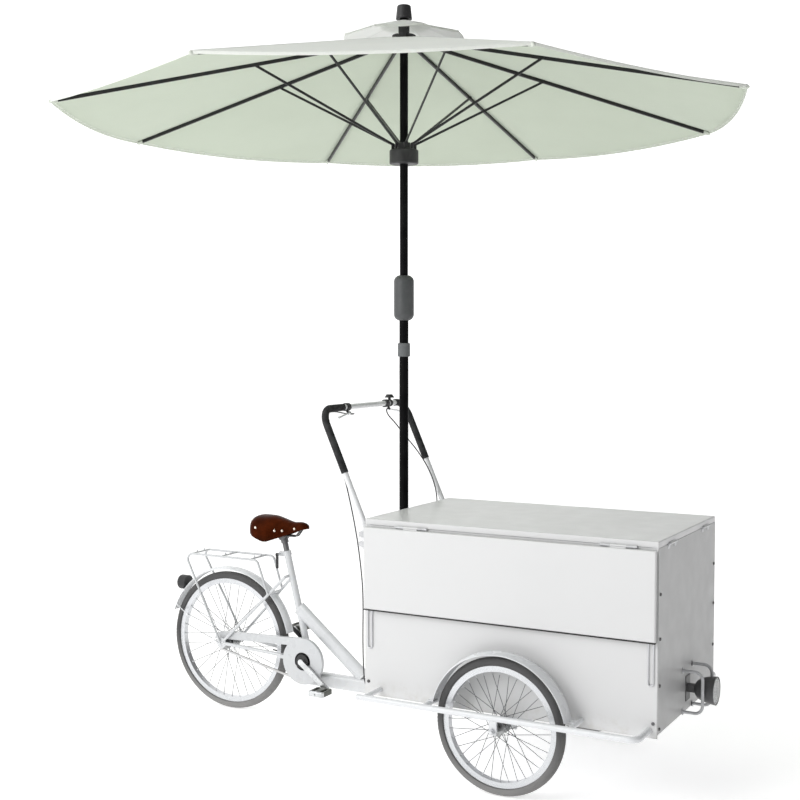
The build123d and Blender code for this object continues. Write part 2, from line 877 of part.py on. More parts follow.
# Chain case: a dished disc over the chainring with a band over the chain's upper run
def case_hull(disc_r, tail_r):
    """Fills the outline of a belt round the case's disc and its tail."""
    with Locations((bracket_x, bracket_z)):
        Circle(disc_r)
    with Locations((rear_x, rear_tyre_r)):
        Circle(tail_r)
    make_hull()


case_span = bracket_x - rear_x
case_fall = (bracket_z + case_disc_r - rear_tyre_r - case_tail_r) / case_span
band_z = bracket_z + case_disc_r - case_band
band_back = 2 * case_span
case_below = 3 * case_disc_r
with BuildPart() as chain_case:
    with BuildSketch(Plane.XZ.offset(case_out - case_rim)) as rim:
        case_hull(case_disc_r, case_tail_r)
        Polygon(
            (bracket_x, band_z - case_below),
            (bracket_x, band_z),
            (bracket_x - band_back, band_z - case_fall * band_back),
            (bracket_x - band_back, band_z - case_below),
            align=None,
            mode=Mode.SUBTRACT,
        )
        with Locations((bracket_x, bracket_z)):
            Circle(case_disc_r)
            Circle(case_hole_r, mode=Mode.SUBTRACT)
    extrude(rim.sketch, amount=case_rim)
    with BuildSketch(Plane.XZ.offset(case_out - case_rim)) as hollow:
        case_hull(case_disc_r - case_plate, case_tail_r - case_plate)
    extrude(hollow.sketch, amount=case_rim - case_plate, mode=Mode.SUBTRACT)
    tab_share = (case_disc_r + case_tab / 2) / case_span
    tab_x = bracket_x - tab_share * case_span
    tab_y = chain_stay_y + (dropout_y - chain_stay_y) * tab_share + chain_stay / 2 + 1
    tab_z = bracket_z + (rear_tyre_r - bracket_z) * tab_share
    block(
        (tab_x - case_tab / 2, -case_out, tab_z - case_tab / 2),
        (tab_x + case_tab, -case_out + case_plate, tab_z + case_tab / 2),
    )
    block(
        (tab_x - case_tab / 2, -case_out + case_plate, tab_z - case_tab / 2),
        (tab_x + case_tab / 2, -tab_y - running_gap, tab_z + case_tab / 2),
    )
keep(chain_case, "chain_case")

# Crankset, chainring and pedals
crank_turn = math.radians(crank_angle)
crank_step = Vector(math.cos(crank_turn), 0, math.sin(crank_turn)) * crank_length
with BuildPart() as crankset:
    rod(
        (bracket_x, -crank_in - crank_thick, bracket_z),
        (bracket_x, crank_in + crank_thick, bracket_z),
        spindle,
    )
    for side in sides:
        pedal_at = ring_at - crank_step * side
        low_y = crank_in if side < 0 else -crank_in - crank_thick
        with BuildSketch(Plane.XZ.offset(low_y)) as arm:
            with Locations((bracket_x, bracket_z)):
                Circle(crank_boss_r)
            with Locations((pedal_at.X, pedal_at.Z)):
                Circle(crank_eye_r)
            make_hull()
        extrude(arm.sketch, amount=crank_thick)
        arm_out = crank_in + crank_thick
        rod(
            (pedal_at.X, side * arm_out, pedal_at.Z),
            (pedal_at.X, side * (arm_out + pedal_in + pedal_width - 4), pedal_at.Z),
            pedal_spindle,
        )
    rod(
        (bracket_x, -crank_in, bracket_z),
        (bracket_x, -chain_y - ring_thick / 2, bracket_z),
        2 * spider_r + 8,
    )
    rod(
        (bracket_x, -chain_y, bracket_z),
        (bracket_x, -chain_y + ring_thick / 2, bracket_z),
        2 * spider_r,
    )
    rod(
        (bracket_x, -chain_y - ring_thick, bracket_z),
        (bracket_x, -chain_y, bracket_z),
        2 * spider_r,
    )
keep(crankset, "crankset")

with BuildPart() as chainring:
    toothed_ring(tuple(ring_at), ring_r, ring_teeth, spider_r + seat_gap)
    with Locations(
        *[
            (
                bracket_x + 60 * math.cos(2 * math.pi * i / 5),
                -chain_y,
                bracket_z + 60 * math.sin(2 * math.pi * i / 5),
            )
            for i in range(5)
        ]
    ):
        Cylinder(16, 3 * ring_thick, rotation=(90, 0, 0), mode=Mode.SUBTRACT)
keep(chainring, "chainring")

for side, label in zip(sides, ("pedal_right", "pedal_left")):
    pedal_at = ring_at - crank_step * side
    pedal_y = side * (crank_in + crank_thick + pedal_in + pedal_width / 2)
    with BuildPart() as pedal:
        with Locations((pedal_at.X, pedal_y, pedal_at.Z)):
            Box(pedal_length, pedal_width, pedal_thick)
        fillet(pedal.edges().filter_by(Axis.Z), pedal_corner)
        fillet(pedal.faces().filter_by(Axis.Z).edges(), 3)
        for end in sides:
            with Locations((pedal_at.X + end * pedal_window_x, pedal_y, pedal_at.Z)):
                Box(*pedal_window, pedal_thick, mode=Mode.SUBTRACT)
        with Locations((pedal_at.X, pedal_y, pedal_at.Z)):
            Cylinder(
                pedal_spindle / 2 + running_gap, pedal_width,
                rotation=(90, 0, 0), mode=Mode.SUBTRACT,
            )
    keep(pedal, label)

# Rear mudguard with wire stays
with BuildPart() as rear_mudguard:
    guard_strip(
        rear_centre, rear_guard_r, rear_guard_width, rear_guard_crown,
        rear_guard_start, rear_guard_end,
    )
    wire_turn = math.radians(rear_guard_end - 6)
    wire_r = rear_guard_r + guard_thick / 2
    wire_in = dropout_y + dropout / 2 + guard_wire / 2 + guard_wire
    for side in sides:
        rod(
            (rear_x - 8, side * wire_in, rear_tyre_r - 4),
            (
                rear_x + wire_r * math.cos(wire_turn),
                side * (rear_guard_width / 2 - 1),
                rear_tyre_r + wire_r * math.sin(wire_turn),
            ),
            guard_wire,
        )
keep(rear_mudguard, "rear_mudguard")

# Rack: two bent side tubes with cross bars
rack_foot_y = dropout_y + dropout / 2 + rack_tube / 2 + 3 * running_gap
with BuildPart() as rack:
    rack_hook_y = bridge_y + seat_stay / 2 + rack_tube / 2 + 3 * running_gap
    for side in sides:
        bent_tube(
            [
                (rear_x - 4, side * rack_foot_y, rear_tyre_r + 10),
                (rack_back, side * rack_y, rack_z),
                (rack_front, side * rack_y, rack_z),
                (bridge_x, side * rack_hook_y, bridge_z),
            ],
            rack_bend,
            rack_tube,
        )
    for share in (0.1, 0.5, 0.9):
        bar_at = rack_back + (rack_front - rack_back) * share
        rod((bar_at, -rack_y, rack_z), (bar_at, rack_y, rack_z), rack_tube - 2)
        for side in sides:
            rod((bar_at, side * 26, rack_z), (bar_at, side * 26, rack_z + 12), 6)
keep(rack, "rack")

# Tail lamp on the rear mudguard
lamp_turn = math.radians(lamp_angle)
guard_outer = rear_guard_r + guard_thick + rear_guard_crown
lamp_at = Vector(
    rear_x + (guard_outer + 16) * math.cos(lamp_turn),
    0,
    rear_tyre_r + (guard_outer + 16) * math.sin(lamp_turn),
)
with BuildPart() as tail_light:
    rod(lamp_at + Vector(14, 0, 0), lamp_at - Vector(lamp_length - 14, 0, 0), 2 * lamp_r)
    fillet(tail_light.edges().group_by(Axis.X)[0], 9)
    rod(
        (rear_x, -rear_guard_width, rear_tyre_r), (rear_x, rear_guard_width, rear_tyre_r),
        2 * (guard_outer + running_gap),
        mode=Mode.SUBTRACT,
    )
keep(tail_light, "tail_light")

# Seat post, saddle rails, leather top and clamp lever
post_top = seat_top + seat_dir * post_above
with BuildPart() as seatpost:
    rod(seat_top - seat_dir * post_below, post_top, seat_post)
keep(seatpost, "seatpost")

rail_low = post_top.Z + 8
saddle_tail = saddle_nose - saddle_length
with BuildPart() as saddle_frame:
    rod((post_top.X, -saddle_rail_y, post_top.Z + 2), (post_top.X, saddle_rail_y, post_top.Z + 2), 30)
    for side in sides:
        rail_points = [
            (saddle_nose - 22, side * 7, saddle_high - leather - nose_drop),
            (saddle_nose - 62, side * saddle_rail_y / 2, rail_low),
            (saddle_tail + 66, side * saddle_rail_y, rail_low),
            (saddle_tail + 16, side * 46, saddle_high - leather - tail_drop),
        ]
        bent_tube(rail_points, 18, saddle_rail)
        with Locations(rail_points[0], rail_points[-1]):
            Sphere(saddle_rail / 2 + rail_tip)
    rod(
        seat_top + seat_dir * (post_above - 26),
        post_top + seat_dir * 2,
        seat_post + 8,
    )
    rod(
        seat_top + seat_dir * (post_above - 27),
        post_top,
        seat_post + 2 * seat_gap,
        mode=Mode.SUBTRACT,
    )
keep(saddle_frame, "saddle_frame")


def saddle_section(back, half, above, below, rise):
    """One cross-section of the leather top: an arched band of constant thickness.

    It stands back from the nose, with its skirts above the lowest point and its crown below the top.
    """
    low = saddle_low + above
    high = saddle_high - below
    shoulder = high - rise
    at = Plane(origin=(saddle_nose - back, 0, 0), x_dir=(0, 1, 0), z_dir=(1, 0, 0))
    with BuildSketch(at) as section:
        with BuildLine():
            ThreePointArc((-half, shoulder), (0, high), (half, shoulder))
            Line((half, shoulder), (half, low))
            Line((half, low), (half - leather, low))
            Line((half - leather, low), (half - leather, shoulder - leather / 2))
            ThreePointArc(
                (half - leather, shoulder - leather / 2),
                (0, high - leather),
                (-half + leather, shoulder - leather / 2),
            )
            Line((-half + leather, shoulder - leather / 2), (-half + leather, low))
            Line((-half + leather, low), (-half, low))
            Line((-half, low), (-half, shoulder))
        make_face()
    return section.sketch


with BuildPart() as saddle_cover:
    stations = [
        saddle_section(0, 13, 60, 31, 12),
        saddle_section(30, 20, 53, 23, 20),
        saddle_section(72, 26, 38, 20, 24),
        saddle_section(120, 40, 21, 10, 32),
        saddle_section(195, 70, 0, 1, 44),
        saddle_section(saddle_length - 30, 80, 24, 0, 42),
        saddle_section(saddle_length, 66, 51, 11, 26),
    ]
    loft(stations)
keep(saddle_cover, "saddle_cover")

with BuildPart() as seat_lever:
    for end in sides:
        rod(
            (lever_x + end * lever_slot / 2, -lever_y, lever_z),
            (lever_x + end * lever_half, -lever_y, lever_z),
            2 * lever_eye_r,
        )
    block(
        (lever_x - lever_half, -lever_y - 4, lever_z - lever_length),
        (lever_x + lever_half, -lever_y + 3, lever_z - lever_eye_r + 2),
    )
    fillet(seat_lever.edges().group_by(Axis.Z)[0], 2.5)
    rod(
        (lever_x - lever_half - 1, -lever_y, lever_z),
        (lever_x + lever_half + 1, -lever_y, lever_z),
        lever_pin + 2 * running_gap,
        mode=Mode.SUBTRACT,
    )
keep(seat_lever, "seat_lever")

# Handlebar, grips, lever brackets, bell and brake levers
bar_corners = [
    (bar_foot_x, -bar_y, bar_low),
    (bar_foot_x, -bar_y, bar_foot_z),
    (bar_x, -bar_y, bar_z),
    (bar_x, bar_y, bar_z),
    (bar_foot_x, bar_y, bar_foot_z),
    (bar_foot_x, bar_y, bar_low),
]
with BuildPart() as handlebar:
    bent_tube(bar_corners, [foot_bend, bar_bend, bar_bend, foot_bend], bar, bar_bore)
keep(handlebar, "handlebar")

grip_share = (grip_start_z - bar_foot_z) / (bar_z - bar_foot_z)
grip_start_x = bar_foot_x + (bar_x - bar_foot_x) * grip_share
with BuildPart() as grips:
    for side, end_y in zip(sides, (grip_end_right, grip_end_left)):
        bent_tube(
            [
                (grip_start_x, side * bar_y, grip_start_z),
                (bar_x, side * bar_y, bar_z),
                (bar_x, side * end_y, bar_z),
            ],
            bar_bend,
            grip,
            bar + 2 * running_gap,
        )
keep(grips, "grips")

lever_dir = Vector(0.5, 0, -math.sqrt(0.75))


def lever_plane(clamp_y):
    """The plane that a brake lever swings in: x runs outward along the bar, y away from it."""
    outward = Vector(0, math.copysign(1, clamp_y), 0)
    origin = Vector(bar_x, clamp_y, bar_z) + lever_dir * lever_reach
    return Plane(origin=origin, x_dir=outward, z_dir=outward.cross(lever_dir))


lever_eye = 7
eye_half = 4
with BuildPart() as bar_fittings:
    for y in lever_clamp_ys:
        rod((bar_x, y - 12, bar_z), (bar_x, y + 12, bar_z), 34)
        with BuildSketch(lever_plane(y).offset(-eye_half - running_gap - 3)) as cheek:
            with Locations((0, -lever_reach / 2)):
                Rectangle(16, lever_reach)
            Circle(lever_eye)
        extrude(cheek.sketch, amount=3)
        with BuildSketch(lever_plane(y).offset(-eye_half - running_gap - 1)) as pin:
            Circle(lever_pin / 2)
        extrude(pin.sketch, amount=2 * eye_half + 3)
    rod((bar_x, bell_y - 6, bar_z), (bar_x, bell_y + 6, bar_z), 32)
    rod((bar_x, bell_y, bar_z + 14), (bar_x, bell_y, bar_z + 24), 12)
    with Locations((bar_x, bell_y, bar_z + 24)):
        Cone(bell_r, bell_r * 0.6, 14, align=(Align.CENTER, Align.CENTER, Align.MIN))
    for y in (*lever_clamp_ys, bell_y):
        rod(
            (bar_x, y - 13, bar_z), (bar_x, y + 13, bar_z),
            bar + 2 * running_gap,
            mode=Mode.SUBTRACT,
        )
keep(bar_fittings, "bar_fittings")

for y, label in zip(lever_clamp_ys, ("brake_lever_right", "brake_lever_left")):
    with BuildPart() as brake_lever:
        with BuildSketch(lever_plane(y).offset(-eye_half)) as eye:
            Circle(lever_eye)
        extrude(eye.sketch, amount=2 * eye_half)
        place = lever_plane(y)
        flare = math.radians(lever_flare)
        tip = (lever_blade * math.cos(flare), lever_blade * math.sin(flare), 0)
        rod(place.from_local_coords((0, 0, 0)), place.from_local_coords(tip), 8)
        with Locations(place.from_local_coords(tip)):
            Sphere(5.5)
        with BuildSketch(lever_plane(y).offset(-eye_half - 1)) as bore:
            Circle(lever_pin / 2 + running_gap)
        extrude(bore.sketch, amount=2 * eye_half + 2, mode=Mode.SUBTRACT)
    keep(brake_lever, label)

# Brake cables: the right one follows the bar round its post, the left one hangs free; both then run
# down behind the box and forward under it to the front axle plates
cable = 5
cable_end_x = axle_x - plate_half - 0.6
cable_start = (-8.6, 0, -5.8)
right_drop = [
    (-182, -100, 1381),
    (-203, -88, 1378),
    (-224, -100, 1380),
    (-226, -146, 1388),
    (-220, -206, 1395),
    (-216, -270, 1394),
    (-206, -312, 1376),
    (-178, -328, 1334),
    (-152, -330, 1276),
    (-127, -330, 1220),
    (-102, -331, 1164),
    (-82, -333, 1108),
    (-64, -336, 1046),
    (-46, -337, 975),
    (-30, -335, 890),
]
left_drop = [
    (-166, 141, 1387),
    (-146, 123, 1365),
    (-116, 137, 1329),
    (-97, 186, 1274),
    (-62, 236, 1206),
    (-36, 275, 1140),
    (-19, 307, 1074),
    (-12, 329, 1002),
    (-14, 336, 930),
    (-12, 334, 865),
]
with BuildPart() as brake_cables:
    for side, clamp_y, drop in zip(sides, lever_clamp_ys, (right_drop, left_drop)):
        route = [
            tuple(lever_plane(clamp_y).from_local_coords(cable_start)),
            *drop,
            (-15, side * 336, 796),
            (-6, side * 334, 700),
            (-3, side * 336, 600),
            (-6, side * 334, 500),
            (-3, side * 336, 405),
            (2, side * 338, 330),
            (24, side * 346, 283),
            (76, side * 366, 262),
            (136, side * 384, 266),
            (200, side * 388, 263),
            (264, side * 386, 267),
            (328, side * 388, 264),
            (392, side * 386, 268),
            (456, side * 388, 264),
            (520, side * 386, 267),
            (572, side * 388, 265),
            (cable_end_x, side * 387, 266),
        ]
        bends = cord_bends(route)
        print("brake cable bend radii", [round(bend) for bend in bends])
        bent_tube(route, bends, cable)
keep(brake_cables, "brake_cables")

# Headlamp on its arm, with a tube guard at each side
face_x = lamp_x + headlamp_depth / 2
with BuildPart() as headlamp:
    with BuildSketch(Plane.XZ) as bowl:
        with BuildLine():
            back = (lamp_x - headlamp_depth / 2, lamp_z)
            rim_point = (face_x, lamp_z + headlamp_r)
            Spline(
                back,
                (lamp_x - headlamp_depth / 6, lamp_z + headlamp_r * 0.78),
                rim_point,
                tangents=((0, 1), (1, 0.12)),
            )
            Line(rim_point, (face_x, lamp_z))
            Line((face_x, lamp_z), back)
        make_face()
    revolve(bowl.sketch, axis=Axis((lamp_x, 0, lamp_z), (1, 0, 0)))
    rod(
        (face_x - lens_thick - running_gap, 0, lamp_z), (face_x + 1, 0, lamp_z),
        2 * (headlamp_r - lens_rim),
        mode=Mode.SUBTRACT,
    )
    block(
        (box_front, -lamp_arm / 2, lamp_z - lamp_arm / 2),
        (lamp_x - headlamp_depth / 4, lamp_arm / 2, lamp_z + lamp_arm / 2),
    )
    block(
        (box_front, -lamp_plate[0] / 2, lamp_z - lamp_plate[1] / 2),
        (box_front + lamp_plate[2], lamp_plate[0] / 2, lamp_z + lamp_plate[1] / 2),
    )
    for side in sides:
        hoop_y = side * guard_side
        hoop_x = box_front + guard_reach
        bent_tube(
            [
                (box_front, hoop_y, lamp_z + guard_half),
                (hoop_x, hoop_y, lamp_z + guard_half),
                (hoop_x, hoop_y, lamp_z - guard_half),
                (box_front, hoop_y, lamp_z - guard_half),
            ],
            guard_bend,
            guard_rod,
        )
        for end in sides:
            foot_z = lamp_z + end * guard_half
            rod((box_front, hoop_y, foot_z), (box_front + lamp_plate[2], hoop_y, foot_z), guard_foot)
keep(headlamp, "headlamp")

with BuildPart() as headlamp_lens:
    rod(
        (face_x - lens_thick, 0, lamp_z), (face_x, 0, lamp_z),
        2 * (headlamp_r - lens_rim - running_gap),
    )
    fillet(headlamp_lens.edges().group_by(Axis.X)[-1], 3)
keep(headlamp_lens, "headlamp_lens")

# Lower mast with its collar, winch pod and handle
with BuildPart() as mast_lower:
    rod((0, 0, mast_foot), (0, 0, mast_lower_top), mast_lower_d)
    rod((0, 0, collar_low), (0, 0, collar_low + collar_height), 2 * collar_r)
    fillet(mast_lower.edges().filter_by(GeomType.CIRCLE).filter_by(lambda e: e.radius == collar_r), 4)
    rod((0, 0, mast_foot), (0, 0, mast_lower_top), mast_lower_bore, mode=Mode.SUBTRACT)
keep(mast_lower, "mast_lower")

winch_dir = Vector(math.cos(math.radians(winch_turn)), math.sin(math.radians(winch_turn)), 0)
winch_at = Vector(0, 0, pod_z)
with BuildPart() as winch_pod:
    with BuildSketch(Plane.XZ) as half_pod:
        with Locations((0, pod_z)):
            RectangleRounded(2 * pod_r, 2 * pod_half, pod_corner)
        with Locations((-pod_r, pod_z)):
            Rectangle(2 * pod_r, 3 * pod_half, mode=Mode.SUBTRACT)
    revolve(half_pod.sketch, axis=Axis.Z)
    rod(winch_at, winch_at + winch_dir * winch_reach, 2 * winch_boss_r)
    rod(
        winch_at + winch_dir * (mast_lower_d / 2 + 4), winch_at + winch_dir * (winch_reach + 1),
        winch_shaft + 2 * running_gap,
        mode=Mode.SUBTRACT,
    )
    rod(
        (0, 0, pod_z - pod_half), (0, 0, pod_z + pod_half),
        mast_lower_d + 2 * seat_gap,
        mode=Mode.SUBTRACT,
    )
keep(winch_pod, "winch_pod")

with BuildPart() as winch_handle:
    arm_foot = winch_at + winch_dir * (winch_reach + running_gap)
    arm_head = arm_foot + winch_dir * 8
    drop = Vector(0, 0, -winch_arm)
    rod(winch_at + winch_dir * (mast_lower_d / 2 + 6), arm_head, winch_shaft)
    with BuildSketch(Plane(origin=arm_foot, x_dir=(0, 0, -1), z_dir=winch_dir)) as crank:
        Circle(11)
        with Locations((winch_arm, 0)):
            Circle(8)
        make_hull()
    extrude(crank.sketch, amount=8)
    rod(arm_head + drop, arm_head + drop + winch_dir * 28, 15)
keep(winch_handle, "winch_handle")

# Upper mast, top hub with finial, and runner
with BuildPart() as mast_upper:
    rod((0, 0, mast_upper_low), (0, 0, mast_top), mast_upper_d)
    rod((0, 0, mast_upper_low), (0, 0, mast_top), mast_upper_bore, mode=Mode.SUBTRACT)
keep(mast_upper, "mast_upper")

rib_turns = [360 / rib_count * i for i in range(rib_count)]


def radial_plane(turn, radius, height, slope=0):
    """A vertical plane through the mast at a bearing: x points out, raised by a slope."""
    bearing = math.radians(turn)
    out = Vector(math.cos(bearing), math.sin(bearing), 0)
    rise = math.radians(slope)
    return Plane(
        origin=out * radius + Vector(0, 0, height),
        x_dir=out * math.cos(rise) + Vector(0, 0, math.sin(rise)),
        z_dir=(math.sin(bearing), -math.cos(bearing), 0),
    )


mast_fit = mast_upper_d + 2 * seat_gap
slot_half = rib_width / 2 + running_gap
with BuildPart() as top_hub:
    rod((0, 0, hub_pivot_z - hub_half), (0, 0, hub_pivot_z + hub_half), 2 * hub_r)
    rod((0, 0, hub_pivot_z + hub_half), (0, 0, vent_top_z - 1), mast_upper_d + 12)
    rod((0, 0, vent_top_z - 5), (0, 0, vent_top_z - 1), 2 * vent_top_r + 4)
    for turn in rib_turns:
        slot_at = radial_plane(turn, hub_pivot_r - rib_eye - 3, hub_pivot_z)
        with BuildSketch(slot_at.offset(-slot_half)) as slot:
            with Locations((hub_r / 2, -4)):
                Rectangle(hub_r, 2 * hub_half + 10)
        extrude(slot.sketch, amount=2 * slot_half, mode=Mode.SUBTRACT)
        with BuildSketch(radial_plane(turn, hub_pivot_r, hub_pivot_z).offset(-slot_half - 2)) as pin:
            Circle(pivot_pin / 2)
        extrude(pin.sketch, amount=2 * slot_half + 4)
    rod((0, 0, hub_pivot_z - hub_half), (0, 0, vent_top_z), mast_fit, mode=Mode.SUBTRACT)
    with Locations((0, 0, mast_top)):
        Cone(finial_low_r, finial_top_r, finial_height, align=(Align.CENTER, Align.CENTER, Align.MIN))
    fillet(top_hub.edges().group_by(Axis.Z)[-1], 8)
keep(top_hub, "top_hub")

stretcher_in = rib_width / 2 + running_gap
stretcher_out = stretcher_in + stretcher_thick
with BuildPart() as runner:
    rod((0, 0, runner_low), (0, 0, runner_top), 2 * runner_r)
    fillet(runner.edges(), 6)
    rod((0, 0, runner_top), (0, 0, runner_neck_top), 2 * runner_neck_r)
    for turn in rib_turns:
        lug_at = radial_plane(turn, runner_pivot_r, runner_pivot_z)
        with BuildSketch(lug_at.offset(stretcher_out + running_gap)) as lug:
            with Locations((0, (runner_top - runner_pivot_z) / 2 - 1)):
                Rectangle(2 * stretcher_eye, runner_pivot_z - runner_top + 2)
            Circle(stretcher_eye)
        extrude(lug.sketch, amount=lug_thick)
        with BuildSketch(lug_at.offset(stretcher_in - 2)) as pin:
            Circle(pivot_pin / 2)
        extrude(pin.sketch, amount=stretcher_thick + lug_thick)
    rod(
        (0, 0, runner_low), (0, 0, runner_neck_top),
        mast_upper_d + 2 * running_gap,
        mode=Mode.SUBTRACT,
    )
keep(runner, "runner")

# Ribs and stretchers
slope_turn = math.radians(rib_slope)
rib_length = (rib_tip_r - hub_pivot_r) / math.cos(slope_turn)
joint_r = hub_pivot_r + joint_along * math.cos(slope_turn)
joint_z = hub_pivot_z - joint_along * math.sin(slope_turn)
stretcher_length = math.hypot(joint_r - runner_pivot_r, joint_z - runner_pivot_z)
stretcher_slope = math.degrees(math.atan2(joint_z - runner_pivot_z, joint_r - runner_pivot_r))
for i, turn in enumerate(rib_turns):
    rib_at = radial_plane(turn, hub_pivot_r, hub_pivot_z, -rib_slope)
    with BuildPart() as rib:
        with BuildSketch(rib_at) as side_view:
            with Locations((rib_length / 2, 0)):
                Rectangle(rib_length, rib_height)
            Circle(rib_eye)
            Circle(pivot_pin / 2 + running_gap, mode=Mode.SUBTRACT)
        extrude(side_view.sketch, amount=rib_width / 2, both=True)
    keep(rib, f"rib_{i + 1}")

    stretcher_at = radial_plane(turn, runner_pivot_r, runner_pivot_z, stretcher_slope)
    with BuildPart() as stretcher:
        with BuildSketch(stretcher_at.offset(stretcher_in)) as side_view:
            with Locations((stretcher_length / 2, 0)):
                Rectangle(stretcher_length, stretcher_height)
            with Locations((0, 0), (stretcher_length, 0)):
                Circle(stretcher_eye)
            Circle(pivot_pin / 2 + running_gap, mode=Mode.SUBTRACT)
        extrude(side_view.sketch, amount=stretcher_thick)
        with BuildSketch(stretcher_at.offset(stretcher_out)) as rivet:
            with Locations((stretcher_length, 0)):
                Circle(stretcher_eye - 1)
        extrude(rivet.sketch, amount=2)
    keep(stretcher, f"stretcher_{i + 1}")

# Canopy: one thin gore between each two ribs, with a raised vent cap
gore_half = math.pi / rib_count


def gore(turn, apex_z, slope, inner_r, outer_r, bulge):
    """Adds one flat gore of a pyramid: its sides run down two ribs and its hem bows outward."""
    bearing = math.radians(turn)
    fall = math.atan(math.tan(slope) / math.cos(gore_half))
    out = Vector(math.cos(bearing), math.sin(bearing), 0)
    down_slope = out * math.cos(fall) + Vector(0, 0, -math.sin(fall))
    across = Vector(math.sin(bearing), -math.cos(bearing), 0)
    at = Plane(origin=(0, 0, apex_z), x_dir=across, z_dir=across.cross(down_slope))
    stretch = math.hypot(math.cos(gore_half), math.tan(slope))
    wide = math.sin(gore_half)
    top = (inner_r * wide - seat_gap, inner_r * stretch)
    foot = (outer_r * wide - seat_gap, outer_r * stretch)
    with BuildSketch(at) as cut:
        with BuildLine():
            Line((-top[0], top[1]), top)
            Line(top, foot)
            ThreePointArc(foot, (0, foot[1] + bulge), (-foot[0], foot[1]))
            Line((-foot[0], foot[1]), (-top[0], top[1]))
        make_face()
    extrude(cut.sketch, amount=cloth)


ridge_drop = rib_width / 2 * math.tan(gore_half) * math.tan(slope_turn)
cloth_lift = rib_height / 2 / math.cos(slope_turn) + ridge_drop + running_gap
main_apex = hub_pivot_z + hub_pivot_r * math.tan(slope_turn) + cloth_lift
vent_slope = math.atan((vent_top_z - vent_edge_z) / (vent_r - vent_top_r))
vent_apex = vent_top_z + vent_top_r * math.tan(vent_slope) + running_gap
with BuildPart() as canopy:
    for turn in rib_turns:
        middle = turn + 180 / rib_count
        gore(middle, main_apex, slope_turn, vent_hole_r, rib_tip_r, hem_bulge)
        gore(middle, vent_apex, vent_slope, vent_top_r, vent_r, hem_bulge / 5)
keep(canopy, "canopy")
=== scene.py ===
import math

import bpy
import numpy as np
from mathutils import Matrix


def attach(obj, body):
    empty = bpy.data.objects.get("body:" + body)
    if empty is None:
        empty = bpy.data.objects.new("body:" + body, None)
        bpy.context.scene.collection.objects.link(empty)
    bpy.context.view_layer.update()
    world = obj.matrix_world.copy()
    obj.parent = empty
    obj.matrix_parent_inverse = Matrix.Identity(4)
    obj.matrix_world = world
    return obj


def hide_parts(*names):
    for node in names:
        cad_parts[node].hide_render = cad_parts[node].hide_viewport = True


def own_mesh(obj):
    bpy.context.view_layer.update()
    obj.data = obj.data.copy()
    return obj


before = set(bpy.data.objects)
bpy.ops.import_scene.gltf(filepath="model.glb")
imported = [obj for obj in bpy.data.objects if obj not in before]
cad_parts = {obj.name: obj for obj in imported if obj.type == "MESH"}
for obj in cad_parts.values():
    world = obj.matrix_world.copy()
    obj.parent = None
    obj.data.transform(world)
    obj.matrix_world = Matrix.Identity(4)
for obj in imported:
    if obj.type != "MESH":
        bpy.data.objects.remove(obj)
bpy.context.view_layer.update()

# All lengths are in metres, in the cart's frame: the mast stands on the origin, X points
# forward, Y to the left and Z up. Colours are linear red, green and blue.

# Sizes shared by several pieces -------------------------------------------------------------

# Of each wheel: the tyre's outer radius and that of its bead, its tread blocks, the radius where
# its tread begins, the radius where the rim begins, both ends of the spokes, half the width
# between the hub's flanges, and the valve's angle in degrees.
FRONT_WHEEL = {
    "radius": 0.260, "bead": 0.2295, "blocks": 110, "tread_from": 0.252, "rim_from": 0.206,
    "rim_end": 0.209, "hub_end": 0.027, "flange": 0.028, "valve_turn": 175,
}
REAR_WHEEL = {
    "radius": 0.315, "bead": 0.2845, "blocks": 132, "tread_from": 0.307, "rim_from": 0.261,
    "rim_end": 0.264, "hub_end": 0.029, "flange": 0.030, "valve_turn": -5,
}
WHEELS = {
    "right": {**FRONT_WHEEL, "centre": (0.648, -0.440, 0.260),
              "tyre": "front_tyre_right", "metal": "front_wheel_right"},
    "left": {**FRONT_WHEEL, "centre": (0.648, 0.440, 0.260),
             "tyre": "front_tyre_left", "metal": "front_wheel_left"},
    "rear": {**REAR_WHEEL, "centre": (-0.902, 0.0, 0.315),
             "tyre": "rear_tyre", "metal": "rear_wheel"},
}
TYRE_WIDTH = 0.040

RIB_COUNT = 8
RIB_STEP = 360 // RIB_COUNT
RIB_TILT = math.radians(13.1)
RIB_SLOPE = math.tan(RIB_TILT)

# Camera and stage ---------------------------------------------------------------------------

CAMERA_PLACE = (2.581, -4.729, 1.714)
CAMERA_TURN = (87.08, 0.0, 28.8)
CAMERA_LENS = 57.6
CAMERA_SENSOR = 36.0
FLOOR_REACH = 60.0
ROOM_GLOW = 1.34
GLOW_AHEAD = 0.27
SOFTBOX_PLACE = (-1.8, -4.6, 3.4)
SOFTBOX_TURN = (58, 0, -20)
SOFTBOX_WATTS = 116
SOFTBOX_SIZE = 3.0


def add_object(name, data):
    """Makes an object of the data at the origin and puts it into the scene."""
    made = bpy.data.objects.new(name, data)
    bpy.context.scene.collection.objects.link(made)
    return made


def aim(thing, place, turn):
    """Puts the camera or a light at a place, turned by degrees about X, Y and Z."""
    thing.location = place
    thing.rotation_euler = [math.radians(angle) for angle in turn]


def place_camera():
    """Puts the camera where the photograph was taken, with its lens."""
    data = bpy.data.cameras.new("view")
    data.lens = CAMERA_LENS
    data.sensor_width = CAMERA_SENSOR
    camera = add_object("view", data)
    aim(camera, CAMERA_PLACE, CAMERA_TURN)
    bpy.context.scene.camera = camera


